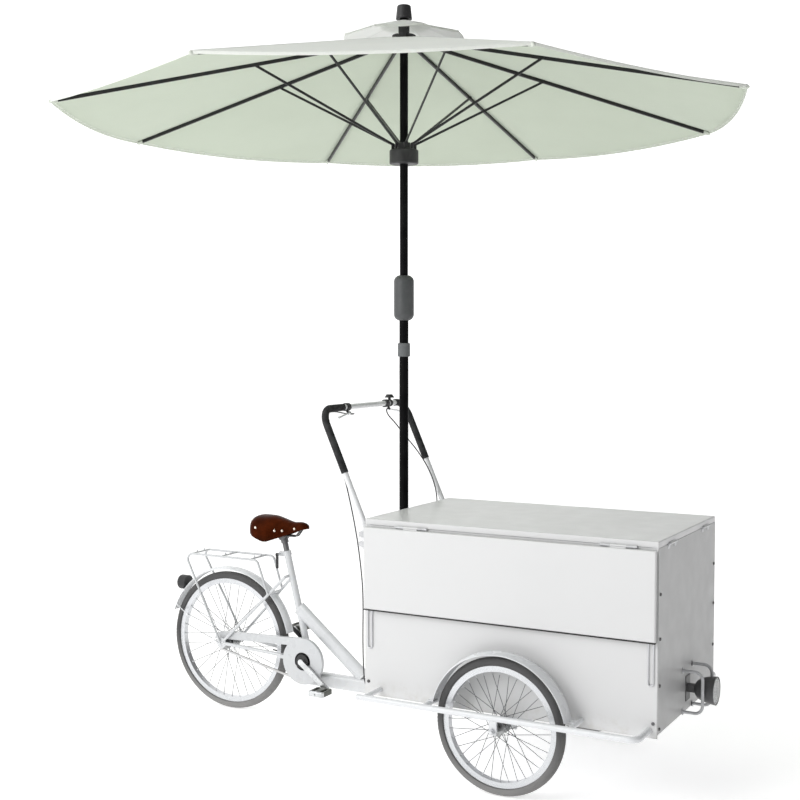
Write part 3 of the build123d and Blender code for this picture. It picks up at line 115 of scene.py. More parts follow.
def lay_floor():
    """A pale floor that is far wider than the view. It glows, so that it stays near white."""
    quarters = ((-1, -1), (1, -1), (1, 1), (-1, 1))
    corners = [(x * FLOOR_REACH, y * FLOOR_REACH, 0.0) for x, y in quarters]
    mesh = bpy.data.meshes.new("floor")
    mesh.from_pydata(corners, [], [(0, 1, 2, 3)])
    pale = new_finish("floor_pale", Roughness=0.9, Specular_IOR_Level=0.1,
                      Base_Color=(0.94, 0.94, 0.94, 1), Emission_Color=(1, 1, 1, 1),
                      Emission_Strength=0.43)[0]
    mesh.materials.append(pale)
    floor = add_object("floor", mesh)


def light_room():
    """A white room that is dimmer ahead of the cart, and one wide soft light on its right. The
    plain backdrop stays white all round."""
    world = bpy.data.worlds.new("room")
    bpy.context.scene.world = world
    world.use_nodes = True
    tree = world.node_tree
    ahead = part_of(tree, add_node(tree, "ShaderNodeTexCoord").outputs["Generated"], "X")
    room = spread(tree, ahead, -0.4, 0.3, ROOM_GLOW, GLOW_AHEAD)
    seen = add_node(tree, "ShaderNodeLightPath").outputs["Is Camera Ray"]
    backdrop = maths(tree, "MULTIPLY", seen, ROOM_GLOW)
    glow = tree.nodes["Background"]
    glow.inputs["Color"].default_value = (1.0, 1.0, 1.0, 1.0)
    feed(tree, glow, Strength=maths(tree, "MAXIMUM", room, backdrop))
    data = bpy.data.lights.new("softbox", "AREA")
    data.energy = SOFTBOX_WATTS
    data.size = SOFTBOX_SIZE
    aim(add_object("softbox", data), SOFTBOX_PLACE, SOFTBOX_TURN)
    bpy.context.scene.view_settings.view_transform = "Standard"


# Node helpers -------------------------------------------------------------------------------


def add_node(tree, kind, **values):
    """Adds a shader node and sets its properties and its unlinked inputs by name."""
    node = tree.nodes.new(kind)
    for key, value in values.items():
        if hasattr(node, key):
            setattr(node, key, value)
        else:
            node.inputs[key.replace("_", " ")].default_value = value
    return node


def new_finish(name, **sockets):
    """Makes a material with one Principled shader whose plain sockets are set here."""
    material = bpy.data.materials.new(name)
    material.use_nodes = True
    tree = material.node_tree
    shader = tree.nodes["Principled BSDF"]
    for key, value in sockets.items():
        shader.inputs[key.replace("_", " ")].default_value = value
    return material, tree, shader


def feed(tree, shader, **links):
    """Links values to a shader's sockets by name."""
    for key, value in links.items():
        tree.links.new(value, shader.inputs[key.replace("_", " ")])


def object_place(tree, centre=(0, 0, 0), stretch=(1, 1, 1)):
    """Object coordinates moved so that centre is the pattern's origin, and stretched."""
    coords = add_node(tree, "ShaderNodeTexCoord")
    moved = add_node(tree, "ShaderNodeVectorMath", operation="SUBTRACT")
    moved.inputs[1].default_value = centre
    tree.links.new(coords.outputs["Object"], moved.inputs[0])
    mapped = add_node(tree, "ShaderNodeMapping", Scale=stretch)
    tree.links.new(moved.outputs[0], mapped.inputs["Vector"])
    return mapped.outputs["Vector"]


def noise(tree, place, scale, detail=3.0, rough=0.5):
    """A cloudy value about 0.5 that repeats about scale times in a metre."""
    node = add_node(tree, "ShaderNodeTexNoise", Scale=scale, Detail=detail, Roughness=rough)
    tree.links.new(place, node.inputs["Vector"])
    return node.outputs["Fac"]


def cells(tree, place, scale, feature):
    """Distance to scattered points or to their cells' edges, about scale of them in a metre."""
    node = add_node(tree, "ShaderNodeTexVoronoi", feature=feature, Scale=scale)
    tree.links.new(place, node.inputs["Vector"])
    return node.outputs["Distance"]


def spread(tree, value, low, high, to_low=0.0, to_high=1.0):
    """Stretches a value from one range to another and clamps it there."""
    node = add_node(tree, "ShaderNodeMapRange")
    for socket, number in zip(node.inputs[1:5], (low, high, to_low, to_high)):
        socket.default_value = number
    tree.links.new(value, node.inputs[0])
    return node.outputs[0]


def maths(tree, operation, *values):
    """One arithmetic step on values, each given as a number or as a link."""
    node = add_node(tree, "ShaderNodeMath", operation=operation)
    for socket, value in zip(node.inputs, values):
        if isinstance(value, (int, float)):
            socket.default_value = value
        else:
            tree.links.new(value, socket)
    return node.outputs[0]


def ripple(tree, value, rate):
    """The sine of a value times rate."""
    return maths(tree, "SINE", maths(tree, "MULTIPLY", value, rate))


def mix(tree, share, first, second):
    """Mixes two colours, each given as numbers or as a link, by a share from 0 to 1."""
    node = add_node(tree, "ShaderNodeMix", data_type="RGBA")
    tree.links.new(share, node.inputs[0])
    for socket, colour in zip((node.inputs[6], node.inputs[7]), (first, second)):
        if isinstance(colour, (tuple, list)):
            socket.default_value = (*colour, 1.0)
        else:
            tree.links.new(colour, socket)
    return node.outputs[2]


def relief(tree, shader, height, depth, strength):
    """Bends the shading normal by a height that is depth metres tall at 1."""
    node = add_node(tree, "ShaderNodeBump", Strength=strength, Distance=depth)
    tree.links.new(height, node.inputs["Height"])
    feed(tree, shader, Normal=node.outputs["Normal"])


def part_of(tree, place, axis):
    """One coordinate of a place."""
    node = add_node(tree, "ShaderNodeSeparateXYZ")
    tree.links.new(place, node.inputs[0])
    return node.outputs[axis]


def from_axle(tree, place):
    """Distance from an axle along Y through the pattern's origin."""
    across = add_node(tree, "ShaderNodeVectorMath", operation="MULTIPLY")
    across.inputs[1].default_value = (1, 0, 1)
    tree.links.new(place, across.inputs[0])
    reach = add_node(tree, "ShaderNodeVectorMath", operation="LENGTH")
    tree.links.new(across.outputs[0], reach.inputs[0])
    return reach.outputs["Value"]


# Finishes -----------------------------------------------------------------------------------

ROAD_DUST = (0.46, 0.44, 0.40)
# The pale tone of the painted light at each tyre's foot.
FOOT_PAINTED_LIGHT = (0.30, 0.295, 0.29)
# How far painted shade darkens the colour of the box's front sheet.
FRONT_SHADE = 0.65
PAINT_EDGE = 0.0005
FITTING_EDGE = 0.0002
HUB_RADIUS = 0.034
COLLAR_FOOT, COLLAR_TOP = 1.6215, 1.6795
COLLAR_GREY = (0.14, 0.145, 0.15)
# Heights over which painted shade darkens the saddle's skirts.
SKIRT_FOOT, SKIRT_TOP = 0.80, 0.83
THREAD_RATE = 4200.0
STITCH_RATE = 1500.0
STITCH_HALF = 0.0006
RIB_SEAM = 0.0065
HEM_SEAM = 0.010
STITCH_THREAD = (0.45, 0.47, 0.42)


def paint_finish(name, colour, shade, roughness, peel, coat, dust, front_shade_x=None):
    """Sprayed paint: slow colour drift, orange peel, and road dust that thins out between the two
    heights in dust. Beyond a given X the colour is darkened as painted shade, for the dimmer light
    on the box's front sheet."""
    material, tree, shader = new_finish(name, Coat_Weight=coat, Coat_Roughness=0.08)
    place = object_place(tree)
    drift = spread(tree, noise(tree, place, 2.2, detail=5.0), 0.35, 0.7)
    painted = mix(tree, drift, colour, shade)
    # Painted shade: past this X the colour is darkened, for the shade on the box's front sheet.
    if front_shade_x is not None:
        beyond = spread(tree, part_of(tree, place, "X"), front_shade_x, front_shade_x + PAINT_EDGE)
        painted = mix(tree, beyond, painted, [FRONT_SHADE * tone for tone in colour])
    speckle = spread(tree, noise(tree, place, 34.0, detail=6.0, rough=0.65), 0.45, 0.75)
    height = spread(tree, part_of(tree, place, "Z"), *dust, 0.55, 0.0)
    dusty = maths(tree, "MULTIPLY", height, speckle)
    rub = noise(tree, place, 14.0, detail=6.0)
    rub = spread(tree, rub, 0.3, 0.75, roughness - 0.07, roughness + 0.1)
    feed(tree, shader, Base_Color=mix(tree, dusty, painted, ROAD_DUST),
         Roughness=maths(tree, "ADD", rub, maths(tree, "MULTIPLY", dusty, 0.3)))
    relief(tree, shader, noise(tree, place, peel, detail=2.0), depth=0.0004, strength=0.35)
    return material


def metal_finish(name, colour, shade, roughness, stretch=(1, 1, 1)):
    """Bare metal: fine drawn lines along the stretched axis, and clouded polish."""
    material, tree, shader = new_finish(name, Metallic=1.0)
    clouds = spread(tree, noise(tree, object_place(tree), 9.0, detail=6.0, rough=0.6), 0.35, 0.7)
    lines = noise(tree, object_place(tree, stretch=stretch), 420.0)
    feed(tree, shader, Base_Color=mix(tree, clouds, colour, shade),
         Roughness=spread(tree, lines, 0.3, 0.7, roughness - 0.06, roughness + 0.12))
    relief(tree, shader, lines, depth=0.00012, strength=0.4)
    return material


def moulded_finish(name, colour, shade, roughness, grain=700.0, depth=0.0003):
    """Moulded plastic or rubber: fine spark texture, dusty patches and slightly uneven gloss."""
    material, tree, shader = new_finish(name, Specular_IOR_Level=0.4)
    place = object_place(tree)
    patches = noise(tree, place, 18.0, detail=6.0, rough=0.6)
    feed(tree, shader, Base_Color=mix(tree, spread(tree, patches, 0.4, 0.75), colour, shade),
         Roughness=spread(tree, patches, 0.3, 0.7, roughness - 0.08, roughness + 0.1))
    relief(tree, shader, noise(tree, place, grain, detail=2.0), depth, strength=0.5)
    return material


def two_tone_finish(name, edge, inner, outer, metal, roughness):
    """A fitting of two materials: one within edge of the middle plane and the other beyond it,
    with their shares of metal, both clouded and finely grained."""
    material, tree, shader = new_finish(name)
    place = object_place(tree)
    aside = maths(tree, "ABSOLUTE", part_of(tree, place, "Y"))
    beyond = spread(tree, aside, edge - FITTING_EDGE, edge + FITTING_EDGE)
    clouds = noise(tree, place, 24.0, detail=6.0, rough=0.6)
    clouds = spread(tree, clouds, 0.35, 0.7, 0.8, 1.15)
    shaded = add_node(tree, "ShaderNodeVectorMath", operation="SCALE")
    tree.links.new(mix(tree, beyond, inner, outer), shaded.inputs[0])
    tree.links.new(clouds, shaded.inputs["Scale"])
    feed(tree, shader, Base_Color=shaded.outputs[0],
         Metallic=spread(tree, beyond, 0.0, 1.0, *metal),
         Roughness=spread(tree, clouds, 0.8, 1.15, roughness - 0.06, roughness + 0.1))
    relief(tree, shader, noise(tree, place, 800.0, detail=2.0), depth=0.0002, strength=0.4)
    return material


def foam_finish():
    """Closed-cell foam for the grips: small round pits all over a dull black skin."""
    material, tree, shader = new_finish("grip_foam", Specular_IOR_Level=0.25)
    place = object_place(tree)
    pits = cells(tree, place, 620.0, "F1")
    patches = spread(tree, noise(tree, place, 40.0, detail=5.0), 0.35, 0.7)
    feed(tree, shader, Roughness=spread(tree, pits, 0.0, 0.7, 0.95, 0.7),
         Base_Color=mix(tree, patches, (0.012, 0.012, 0.013), (0.04, 0.04, 0.042)))
    relief(tree, shader, pits, depth=0.0008, strength=0.7)
    return material


def rubber_finish(name, centre, tread_from):
    """Tyre rubber about an axle: a dusty tread, a cleaner side wall, fine moulded rings, and
    painted light that turns the rubber paler towards the foot of the standing wheel."""
    material, tree, shader = new_finish(name, Specular_IOR_Level=0.35)
    place = object_place(tree, centre=centre)
    radius = from_axle(tree, place)
    clouds = noise(tree, place, 26.0, detail=6.0, rough=0.65)
    tread = spread(tree, radius, tread_from - 0.004, tread_from + 0.003)
    dust = maths(tree, "MULTIPLY", tread, spread(tree, clouds, 0.35, 0.75, 0.15, 0.9))
    rubber = mix(tree, dust, (0.066, 0.065, 0.066), (0.115, 0.112, 0.106))
    # Painted light: the rubber turns paler towards the foot of the standing wheel.
    foot = spread(tree, part_of(tree, place, "Z"), -0.3, 0.02, 0.85, 0.0)
    foot = maths(tree, "MULTIPLY", foot, spread(tree, clouds, 0.3, 0.7, 0.75, 1.0))
    feed(tree, shader, Base_Color=mix(tree, foot, rubber, FOOT_PAINTED_LIGHT),
         Roughness=spread(tree, clouds, 0.3, 0.7, 0.5, 0.8))
    rings = ripple(tree, radius, 2100.0)
    wall = maths(tree, "MULTIPLY", rings, maths(tree, "SUBTRACT", 1.0, tread))
    skin = maths(tree, "ADD", maths(tree, "MULTIPLY", wall, 0.4), noise(tree, place, 600.0))
    relief(tree, shader, skin, depth=0.0003, strength=0.5)
    return material


def wheel_finish(name, centre, rim_from):
    """Wheel metal about an axle: grey spokes, a grimy satin hub, and a bright rim with fine
    turned rings."""
    material, tree, shader = new_finish(name, Metallic=1.0)
    place = object_place(tree, centre=centre)
    radius = from_axle(tree, place)
    rim = spread(tree, radius, rim_from, rim_from + 0.001)
    hub = spread(tree, radius, HUB_RADIUS, HUB_RADIUS + 0.002, 1.0, 0.0)
    grime = spread(tree, noise(tree, place, 60.0, detail=5.0), 0.45, 0.7)
    hub_tone = mix(tree, grime, (0.34, 0.345, 0.35), (0.13, 0.125, 0.12))
    tone = mix(tree, rim, (0.16, 0.165, 0.17), (0.62, 0.63, 0.65))
    rings = maths(tree, "MULTIPLY", ripple(tree, radius, 9000.0), rim)
    wear = maths(tree, "ADD", rings, grime)
    feed(tree, shader, Base_Color=mix(tree, hub, tone, hub_tone),
         Roughness=spread(tree, wear, -1.0, 2.0, 0.2, 0.42))
    relief(tree, shader, rings, depth=0.0001, strength=0.5)
    return material


def mast_finish():
    """Satin black tube with fine drawn lines, and a grey moulded collar at its height."""
    material, tree, shader = new_finish("mast_anodised", Specular_IOR_Level=0.04)
    place = object_place(tree)
    height = part_of(tree, place, "Z")
    above = spread(tree, height, COLLAR_FOOT, COLLAR_FOOT + PAINT_EDGE)
    below = spread(tree, height, COLLAR_TOP - PAINT_EDGE, COLLAR_TOP, 1.0, 0.0)
    collar = maths(tree, "MULTIPLY", above, below)
    clouds = spread(tree, noise(tree, place, 12.0, detail=6.0), 0.35, 0.7)
    black = mix(tree, clouds, (0.003, 0.003, 0.0035), (0.007, 0.007, 0.0075))
    lines = noise(tree, object_place(tree, stretch=(1, 1, 0.02)), 500.0)
    feed(tree, shader, Base_Color=mix(tree, collar, black, COLLAR_GREY),
         Roughness=spread(tree, lines, 0.3, 0.7, 0.38, 0.52))
    relief(tree, shader, lines, depth=0.0001, strength=0.3)
    return material


def leather_finish():
    """Saddle hide: pebbled grain, slow tan and dark clouds, and painted shade that darkens the
    skirts towards their foot.
    """
    material, tree, shader = new_finish(
        "saddle_hide", Specular_IOR_Level=0.09, Specular_Tint=(1.0, 0.30, 0.11, 1.0))
    place = object_place(tree)
    clouds = noise(tree, place, 22.0, detail=6.0, rough=0.6)
    hide = mix(tree, spread(tree, clouds, 0.3, 0.75),
               (0.020, 0.0028, 0.0006), (0.064, 0.0105, 0.0022))
    # Painted shade: the hide darkens below SKIRT_TOP, towards the foot of its skirts.
    skirt_shade = spread(tree, part_of(tree, place, "Z"), SKIRT_FOOT, SKIRT_TOP, 0.6, 0.0)
    feed(tree, shader, Base_Color=mix(tree, skirt_shade, hide, (0.012, 0.004, 0.002)),
         Roughness=spread(tree, clouds, 0.3, 0.7, 0.36, 0.52))
    pebbles = cells(tree, place, 620.0, "DISTANCE_TO_EDGE")
    relief(tree, shader, maths(tree, "MINIMUM", pebbles, 0.12), depth=0.0022, strength=0.4)
    return material


def glass_finish():
    """Headlamp glass with upright flutes pressed into it."""
    material, tree, shader = new_finish(
        "lamp_fluted_glass", Roughness=0.08, IOR=1.5, Transmission_Weight=0.8)
    place = object_place(tree)
    haze = spread(tree, noise(tree, place, 45.0, detail=5.0), 0.3, 0.7)
    feed(tree, shader, Base_Color=mix(tree, haze, (0.80, 0.82, 0.84), (0.92, 0.93, 0.94)))
    flutes = ripple(tree, part_of(tree, place, "Y"), 900.0)
    relief(tree, shader, flutes, depth=0.0008, strength=0.8)
    return material


def cloth_finish(name, colour, shade, binding, through):
    """Woven canopy cloth on its own flat map, in metres: threads both ways, a stitched seam
    beside the rib and another inside the hem, a speckled binding past the hem, and a share of
    light that comes through. The hem attribute is the distance in from the hem's fold."""
    material, tree, shader = new_finish(
        name, Sheen_Weight=0.25, Sheen_Roughness=0.5, Roughness=0.85)
    flat = add_node(tree, "ShaderNodeUVMap", uv_map="flat").outputs["UV"]
    from_hem = add_node(tree, "ShaderNodeAttribute", attribute_name="hem").outputs["Fac"]
    across, along = part_of(tree, flat, "X"), part_of(tree, flat, "Y")
    threads = [ripple(tree, axis, THREAD_RATE) for axis in (across, along)]
    weave = maths(tree, "MULTIPLY", *threads)
    dashes = []
    for inset, seam, run in ((across, RIB_SEAM, along), (from_hem, HEM_SEAM, across)):
        line = maths(tree, "COMPARE", inset, seam, STITCH_HALF)
        dash = spread(tree, ripple(tree, run, STITCH_RATE), -0.2, 0.1)
        dashes.append(maths(tree, "MULTIPLY", line, dash))
    stitch = maths(tree, "MAXIMUM", *dashes)
    place = object_place(tree)
    clouds = spread(tree, noise(tree, place, 3.0, detail=6.0, rough=0.6), 0.35, 0.7)
    tone = mix(tree, clouds, colour, shade)
    tone = mix(tree, maths(tree, "MULTIPLY", stitch, 0.5), tone, STITCH_THREAD)
    speckle = spread(tree, noise(tree, place, 240.0, detail=4.0, rough=0.7), 0.38, 0.62)
    edge = spread(tree, from_hem, 0.0004, 0.0014, 1.0, 0.0)
    tone = mix(tree, maths(tree, "MULTIPLY", edge, speckle), tone, binding)
    feed(tree, shader, Base_Color=tone)
    sewn = maths(tree, "ADD", weave, maths(tree, "MULTIPLY", stitch, -3.0))
    relief(tree, shader, sewn, depth=0.0002, strength=0.35)
    glow = add_node(tree, "ShaderNodeBsdfTranslucent")
    feed(tree, glow, Color=tone)
    both = add_node(tree, "ShaderNodeMixShader", Fac=through)
    tree.links.new(shader.outputs[0], both.inputs[1])
    tree.links.new(glow.outputs[0], both.inputs[2])
    feed(tree, tree.nodes["Material Output"], Surface=both.outputs[0])
    return material


# Surfaces -----------------------------------------------------------------------------------


def grid_faces(rows, columns, wrap_rows=False, wrap_columns=False):
    """Quads that join a grid of points to its next row and column; a wrapped side closes."""
    i = np.arange(rows if wrap_rows else rows - 1)[:, None]
    j = np.arange(columns if wrap_columns else columns - 1)[None, :]
    next_i, next_j = (i + 1) % rows, (j + 1) % columns
    corners = ((i, j), (i, next_j), (next_i, next_j), (next_i, j))
    quads = np.broadcast_arrays(*(row * columns + column for row, column in corners))
    return np.stack(quads, axis=-1).reshape(-1, 4)


def repeat_faces(faces, points_each, copies):
    """The same faces again for each copy of a set of points."""
    start = points_each * np.arange(copies)[:, None, None]
    return (faces[None] + start).reshape(-1, faces.shape[1])


def signed_volume(points, faces):
    """Volume inside a closed set of quads, negative when they face inwards."""
    a, b, c, d = (points[faces[:, k]] for k in range(4))
    return float(np.sum(a * np.cross(b, c)) + np.sum(a * np.cross(c, d))) / 6


def make_piece(name, points, faces, finish, body, closed=True, flat=None):
    """Puts points and quads into a mesh that rides on a body. A closed mesh that came out
    inside out is turned round, and an open one gets sharp borders, so that its wall's shading
    stops there. flat gives each point's place on the piece's own map."""
    points = np.asarray(points, float).reshape(-1, 3)
    if closed and signed_volume(points, faces) < 0:
        faces = faces[:, ::-1]
    mesh = bpy.data.meshes.new(name)
    mesh.vertices.add(len(points))
    mesh.vertices.foreach_set("co", points.astype(np.float32).ravel())
    mesh.loops.add(faces.size)
    mesh.loops.foreach_set("vertex_index", faces.astype(np.int32).ravel())
    mesh.polygons.add(len(faces))
    mesh.polygons.foreach_set("loop_start", np.arange(0, faces.size, 4, dtype=np.int32))
    mesh.update(calc_edges=True)
    mesh.polygons.foreach_set("use_smooth", np.ones(len(faces), bool))
    if flat is not None:
        spots = flat.reshape(-1, 2)[faces.ravel()]
        layer = mesh.uv_layers.new(name="flat")
        layer.data.foreach_set("uv", spots.astype(np.float32).ravel())
    if not closed:
        edges = np.empty(len(mesh.loops), np.int32)
        mesh.loops.foreach_get("edge_index", edges)
        border = np.bincount(edges, minlength=len(mesh.edges)) == 1
        sharp = mesh.attributes.new("sharp_edge", "BOOLEAN", "EDGE")
        sharp.data.foreach_set("value", border)
    mesh.materials.append(finish)
    piece = add_object(name, mesh)
    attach(piece, body)
    return piece


def full_turn(count):
    """Equal angles once round, without the last, which is the first again."""
    return np.linspace(0, 2 * np.pi, count, endpoint=False)


def grid_points(*coordinates):
    """Three coordinates, or two on a map, put together over one grid."""
    return np.stack(np.broadcast_arrays(*coordinates), axis=-1)


def ring_points(profile, centre, count):
    """Turns a closed profile of (radius, y) about an axle along Y, count steps round."""
    turn = full_turn(count)[:, None]
    radius, along = profile[..., 0], profile[..., 1]
    return grid_points(centre[0] + radius * np.cos(turn), centre[1] + along,
                       centre[2] + radius * np.sin(turn))


def dome_points(rings, sides):
    """A unit dome on a grid: x and y of a disc, and its height, ring by ring from the rim."""
    rise = np.linspace(0, np.pi / 2, rings)[:, None]
    turn = full_turn(sides)[None, :]
    reach = np.maximum(np.cos(rise), 1e-3)
    return grid_points(reach * np.cos(turn), reach * np.sin(turn), np.sin(rise))


def side_vectors(axis, aside):
    """Two unit vectors square to each axis and to each other, the first also square to aside."""
    first = np.cross(axis, aside)
    first /= np.linalg.norm(first, axis=1, keepdims=True)
    return first, np.cross(axis, first)


def set_heads(name, head, places, normals, finish, body):
    """Puts a copy of a head at each place. The head's x and y lie square to the normal there,
    and its z along it."""
    first, second = side_vectors(normals, (0.0, 0.0, 1.0))
    x, y, z = (head[None, ..., k:k + 1] for k in range(3))
    places, first, second, out = (v[:, None, None] for v in (places, first, second, normals))
    points = places + x * first + y * second + z * out
    each = grid_faces(*head.shape[:2], wrap_columns=True)
    faces = repeat_faces(each, head[..., 0].size, len(points))
    make_piece(name, points, faces, finish, body, closed=False)


# Canopy -------------------------------------------------------------------------------------

GORE_HALF = math.pi / RIB_COUNT
CLOTH_THICK = 0.0012
HEM_CURL = 0.003
SEAM_RISE = 0.0007
SEAM_WIDTH = 0.0085
SEAM_COLUMNS = (0.0, 0.004, 0.008, 0.0095)
ROOF_CUT = {"inner": 0.160, "outer": 1.420, "apex": 2.95218, "slope": RIB_SLOPE,
            "bulge": 0.0283, "sag": 0.014, "drop": 0.011}
VENT_CUT = {"inner": 0.032, "outer": 0.250, "apex": 3.0170, "slope": 0.2788,
            "bulge": 0.016, "sag": 0.002, "drop": 0.007}
CAP_INNER, CAP_OUTER = 0.024, 0.104
CAP_LIFT = 0.0026
CAP_FROM_SEAM, CAP_FROM_HEM, CAP_MAP_TOP = 0.02, 0.05, 0.30


def gore_half_points(inner, outer, apex, slope, bulge, sag, drop):
    """Half of one gore, from a rib out to the gore's middle, as a sheet on a grid.

    A point at radius r on the rib lies at height apex - r slope. Across, it goes level along
    the chord, and at a share b of the way to the middle the cloth hangs below that chord by
    sag (1 - (1 - b)^2) (r - inner) / (outer - inner), which is level at the middle. The hem
    bows out by bulge (1 - (1 - b)^2), and past it the cloth turns down through drop, away from
    the mast along the gore's middle line. The first columns keep fixed distances for the sewn
    seam, which stands SEAM_RISE proud. Gives the points, their flat map and their distance in
    from the hem."""
    rows, columns = 30, 15
    seam = np.array(SEAM_COLUMNS)
    share = np.concatenate([np.zeros(len(seam)), np.linspace(0, 1, columns + 1)[1:]])[None, :]
    fixed = np.concatenate([seam, np.full(columns, seam[-1])])[None, :]
    fold = np.linspace(0, np.pi / 2, 5)[1:]
    fold_out = np.concatenate([HEM_CURL * np.sin(fold), [HEM_CURL, HEM_CURL]])
    fold_down = np.concatenate([HEM_CURL * (1 - np.cos(fold)), [drop * 0.6, drop]])
    along = np.concatenate([np.linspace(0, 1, rows), np.ones(len(fold_out))])[:, None]
    out_extra, down_extra = (
        np.concatenate([np.zeros(rows), extra])[:, None] for extra in (fold_out, fold_down))
    hem = outer + bulge * (1 - (1 - share) ** 2)
    reach = inner + (hem - inner) * along
    chord = reach * math.sin(GORE_HALF)
    t = fixed + share * (chord - seam[-1])
    hang = 1 - (1 - t / chord) ** 2
    span = (reach - inner) / (outer - inner)
    raised = SEAM_RISE * (t < SEAM_WIDTH)
    rise = apex - reach * slope - sag * hang * span + raised - down_extra
    out = reach - t * math.sin(GORE_HALF) + out_extra * math.cos(GORE_HALF)
    side = t * math.cos(GORE_HALF) + out_extra * math.sin(GORE_HALF)
    slant = math.hypot(1, slope)
    flat = grid_points(t, reach * slant + out_extra + down_extra)
    from_hem = (hem - reach) * slant - out_extra - down_extra
    return grid_points(out, side, rise), flat, np.broadcast_to(from_hem, t.shape)


def turned(points, bearing):
    """Turns points about the mast by a bearing."""
    c, s = math.cos(bearing), math.sin(bearing)
    x, y, z = points[..., 0], points[..., 1], points[..., 2]
    return np.stack([c * x - s * y, s * x + c * y, z], axis=-1)


def add_cloth(name, points, faces, finishes, body, flat, from_hem):
    """A sheet of canopy cloth, thickened upwards, that keeps each point's distance in from the
    hem. The finishes are for the upper and the under side."""
    upper, under = finishes
    piece = make_piece(name, points, faces, upper, body, closed=False, flat=flat)
    piece.data.materials.append(under)
    inward = piece.data.attributes.new("hem", "FLOAT", "POINT")
    inward.data.foreach_set("value", from_hem.astype(np.float32).ravel())
    thick = piece.modifiers.new("cloth", "SOLIDIFY")
    thick.thickness = CLOTH_THICK
    thick.offset = 1.0
    thick.material_offset = 1
    thick.material_offset_rim = 1
    return piece


def sew_halves(part, cut, finishes):
    """Sixteen half gores, each sewn to its rib so that it rides on it."""
    half, flat, from_hem = gore_half_points(**cut)
    faces = grid_faces(*half.shape[:2])
    made = []
    for i in range(RIB_COUNT):
        bearing = math.radians(RIB_STEP * i)
        for mirror, side in ((1, "left"), (-1, "right")):
            points = turned(half * (1, mirror, 1), bearing)
            order = faces if mirror < 0 else faces[:, ::-1]
            piece = add_cloth(f"{part}_{i + 1}_{side}", points, order, finishes,
                              f"rib_{i + 1}_body", flat, from_hem)
            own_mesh(piece)
            made.append(piece)
    return made


def cap_vent(finishes):
    """A round cap of the vent's cloth under the finial: a cone at the vent's slope, set above
    its halves by CAP_LIFT. Its map and hem distance keep clear of the sewn seams."""
    turn = full_turn(64)[None, :]
    reach = np.linspace(CAP_INNER, CAP_OUTER, 10)[:, None]
    rise = VENT_CUT["apex"] + CAP_LIFT - reach * VENT_CUT["slope"]
    disc = grid_points(reach * np.cos(turn), reach * np.sin(turn), rise)
    flat = grid_points(CAP_FROM_SEAM + reach * turn, CAP_MAP_TOP - reach)
    faces = grid_faces(*disc.shape[:2], wrap_columns=True)[:, ::-1]
    from_hem = np.full(disc.shape[:2], CAP_FROM_HEM)
    piece = add_cloth("vent_cap", disc, faces, finishes, "mast", flat, from_hem)


def sew_canopy(roof, vent):
    """The roof, the vent over it and the vent's cap, each from its pair of finishes."""
    halves = sew_halves("canopy", ROOF_CUT, roof)
    halves += sew_halves("vent", VENT_CUT, vent)
    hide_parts("canopy")
    cap_vent(vent)


# Tyres --------------------------------------------------------------------------------------

TYRE_WALL = 0.004
TREAD_DEPTH = 0.0016
CROWN_EDGE, CROWN_FADE = 0.95, 0.12
GROOVE_LEAN, GROOVE_WIDTH = 0.34, 0.06
BLOCK_SLANT = 0.9
BLOCK_HALF, BLOCK_FADE = 0.36, 0.06
MIDDLE_BAND = 0.16


def tyre_points(centre, radius, bead, blocks):
    """A tyre as a closed profile carried round the axle, with tread cut into its crown.

    The outside is an arc of the section circle from bead to bead, the inside the same arc
    TYRE_WALL within. Over the crown, grooves sink it by TREAD_DEPTH: one round groove each
    side, and cross grooves between the blocks, outside the middle band, that slant with the
    distance from the middle. Distances across are angles of the section circle."""
    columns, rows = blocks * 8, 40
    section = TYRE_WIDTH / 2
    middle = radius - section
    last = math.acos(max(-1.0, (bead - middle) / section))
    lean = np.linspace(-last, last, rows)
    aside = np.abs(lean)[None, :]
    turn = np.arange(columns)[:, None] / columns * blocks
    crown = np.clip((CROWN_EDGE - aside) / CROWN_FADE, 0, 1)
    ring_groove = np.exp(-((aside - GROOVE_LEAN) / GROOVE_WIDTH) ** 2)
    from_block = np.abs((turn + BLOCK_SLANT * aside) % 1.0 - 0.5)
    cross = np.clip((from_block - BLOCK_HALF) / BLOCK_FADE, 0, 1)
    sink = TREAD_DEPTH * crown * np.maximum(ring_groove, cross * (aside > MIDDLE_BAND))
    outer = section - sink
    outside = np.stack([middle + outer * np.cos(lean), outer * np.sin(lean)], axis=-1)
    inner = section - TYRE_WALL
    back = lean[::-1][None, :]
    inside = np.stack([middle + inner * np.cos(back), inner * np.sin(back)], axis=-1)
    inside = np.broadcast_to(inside, (columns, rows, 2))
    return ring_points(np.concatenate([outside, inside], axis=1), centre, columns)


def fit_tyres(finishes):
    """Replaces the plain tyres with treaded ones."""
    for side, wheel in WHEELS.items():
        points = tyre_points(wheel["centre"], wheel["radius"], wheel["bead"], wheel["blocks"])
        faces = grid_faces(*points.shape[:2], wrap_rows=True, wrap_columns=True)
        piece = make_piece(f"treaded_{wheel['tyre']}", points, faces, finishes[side],
                           f"wheel_{side}")
        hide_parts(wheel["tyre"])


# Saddle -------------------------------------------------------------------------------------

SADDLE_NOSE = -0.478
SADDLE_LENGTH = 0.288
SADDLE_STATIONS = (0.0, 0.104, 0.25, 0.417, 0.677, 0.896, 1.0)
SADDLE_HALF_WIDTHS = (0.018, 0.021, 0.026, 0.040, 0.071, 0.081, 0.073)
SADDLE_SKIRTS = (0.858, 0.852, 0.837, 0.818, 0.791, 0.818, 0.846)
CREST_STATIONS = (0.0, 0.06, 0.14, 0.26, 0.417, 0.60, 0.896, 1.0)
CREST_HEIGHTS = (0.880, 0.8845, 0.8865, 0.881, 0.8935, 0.9065, 0.907, 0.899)
SIDE_ROUND, TOP_ROUND = 0.85, 0.62
END_SQUARE, END_ROUND, END_FALL = 9, 0.42, 0.6
HIDE_THICK = 0.005
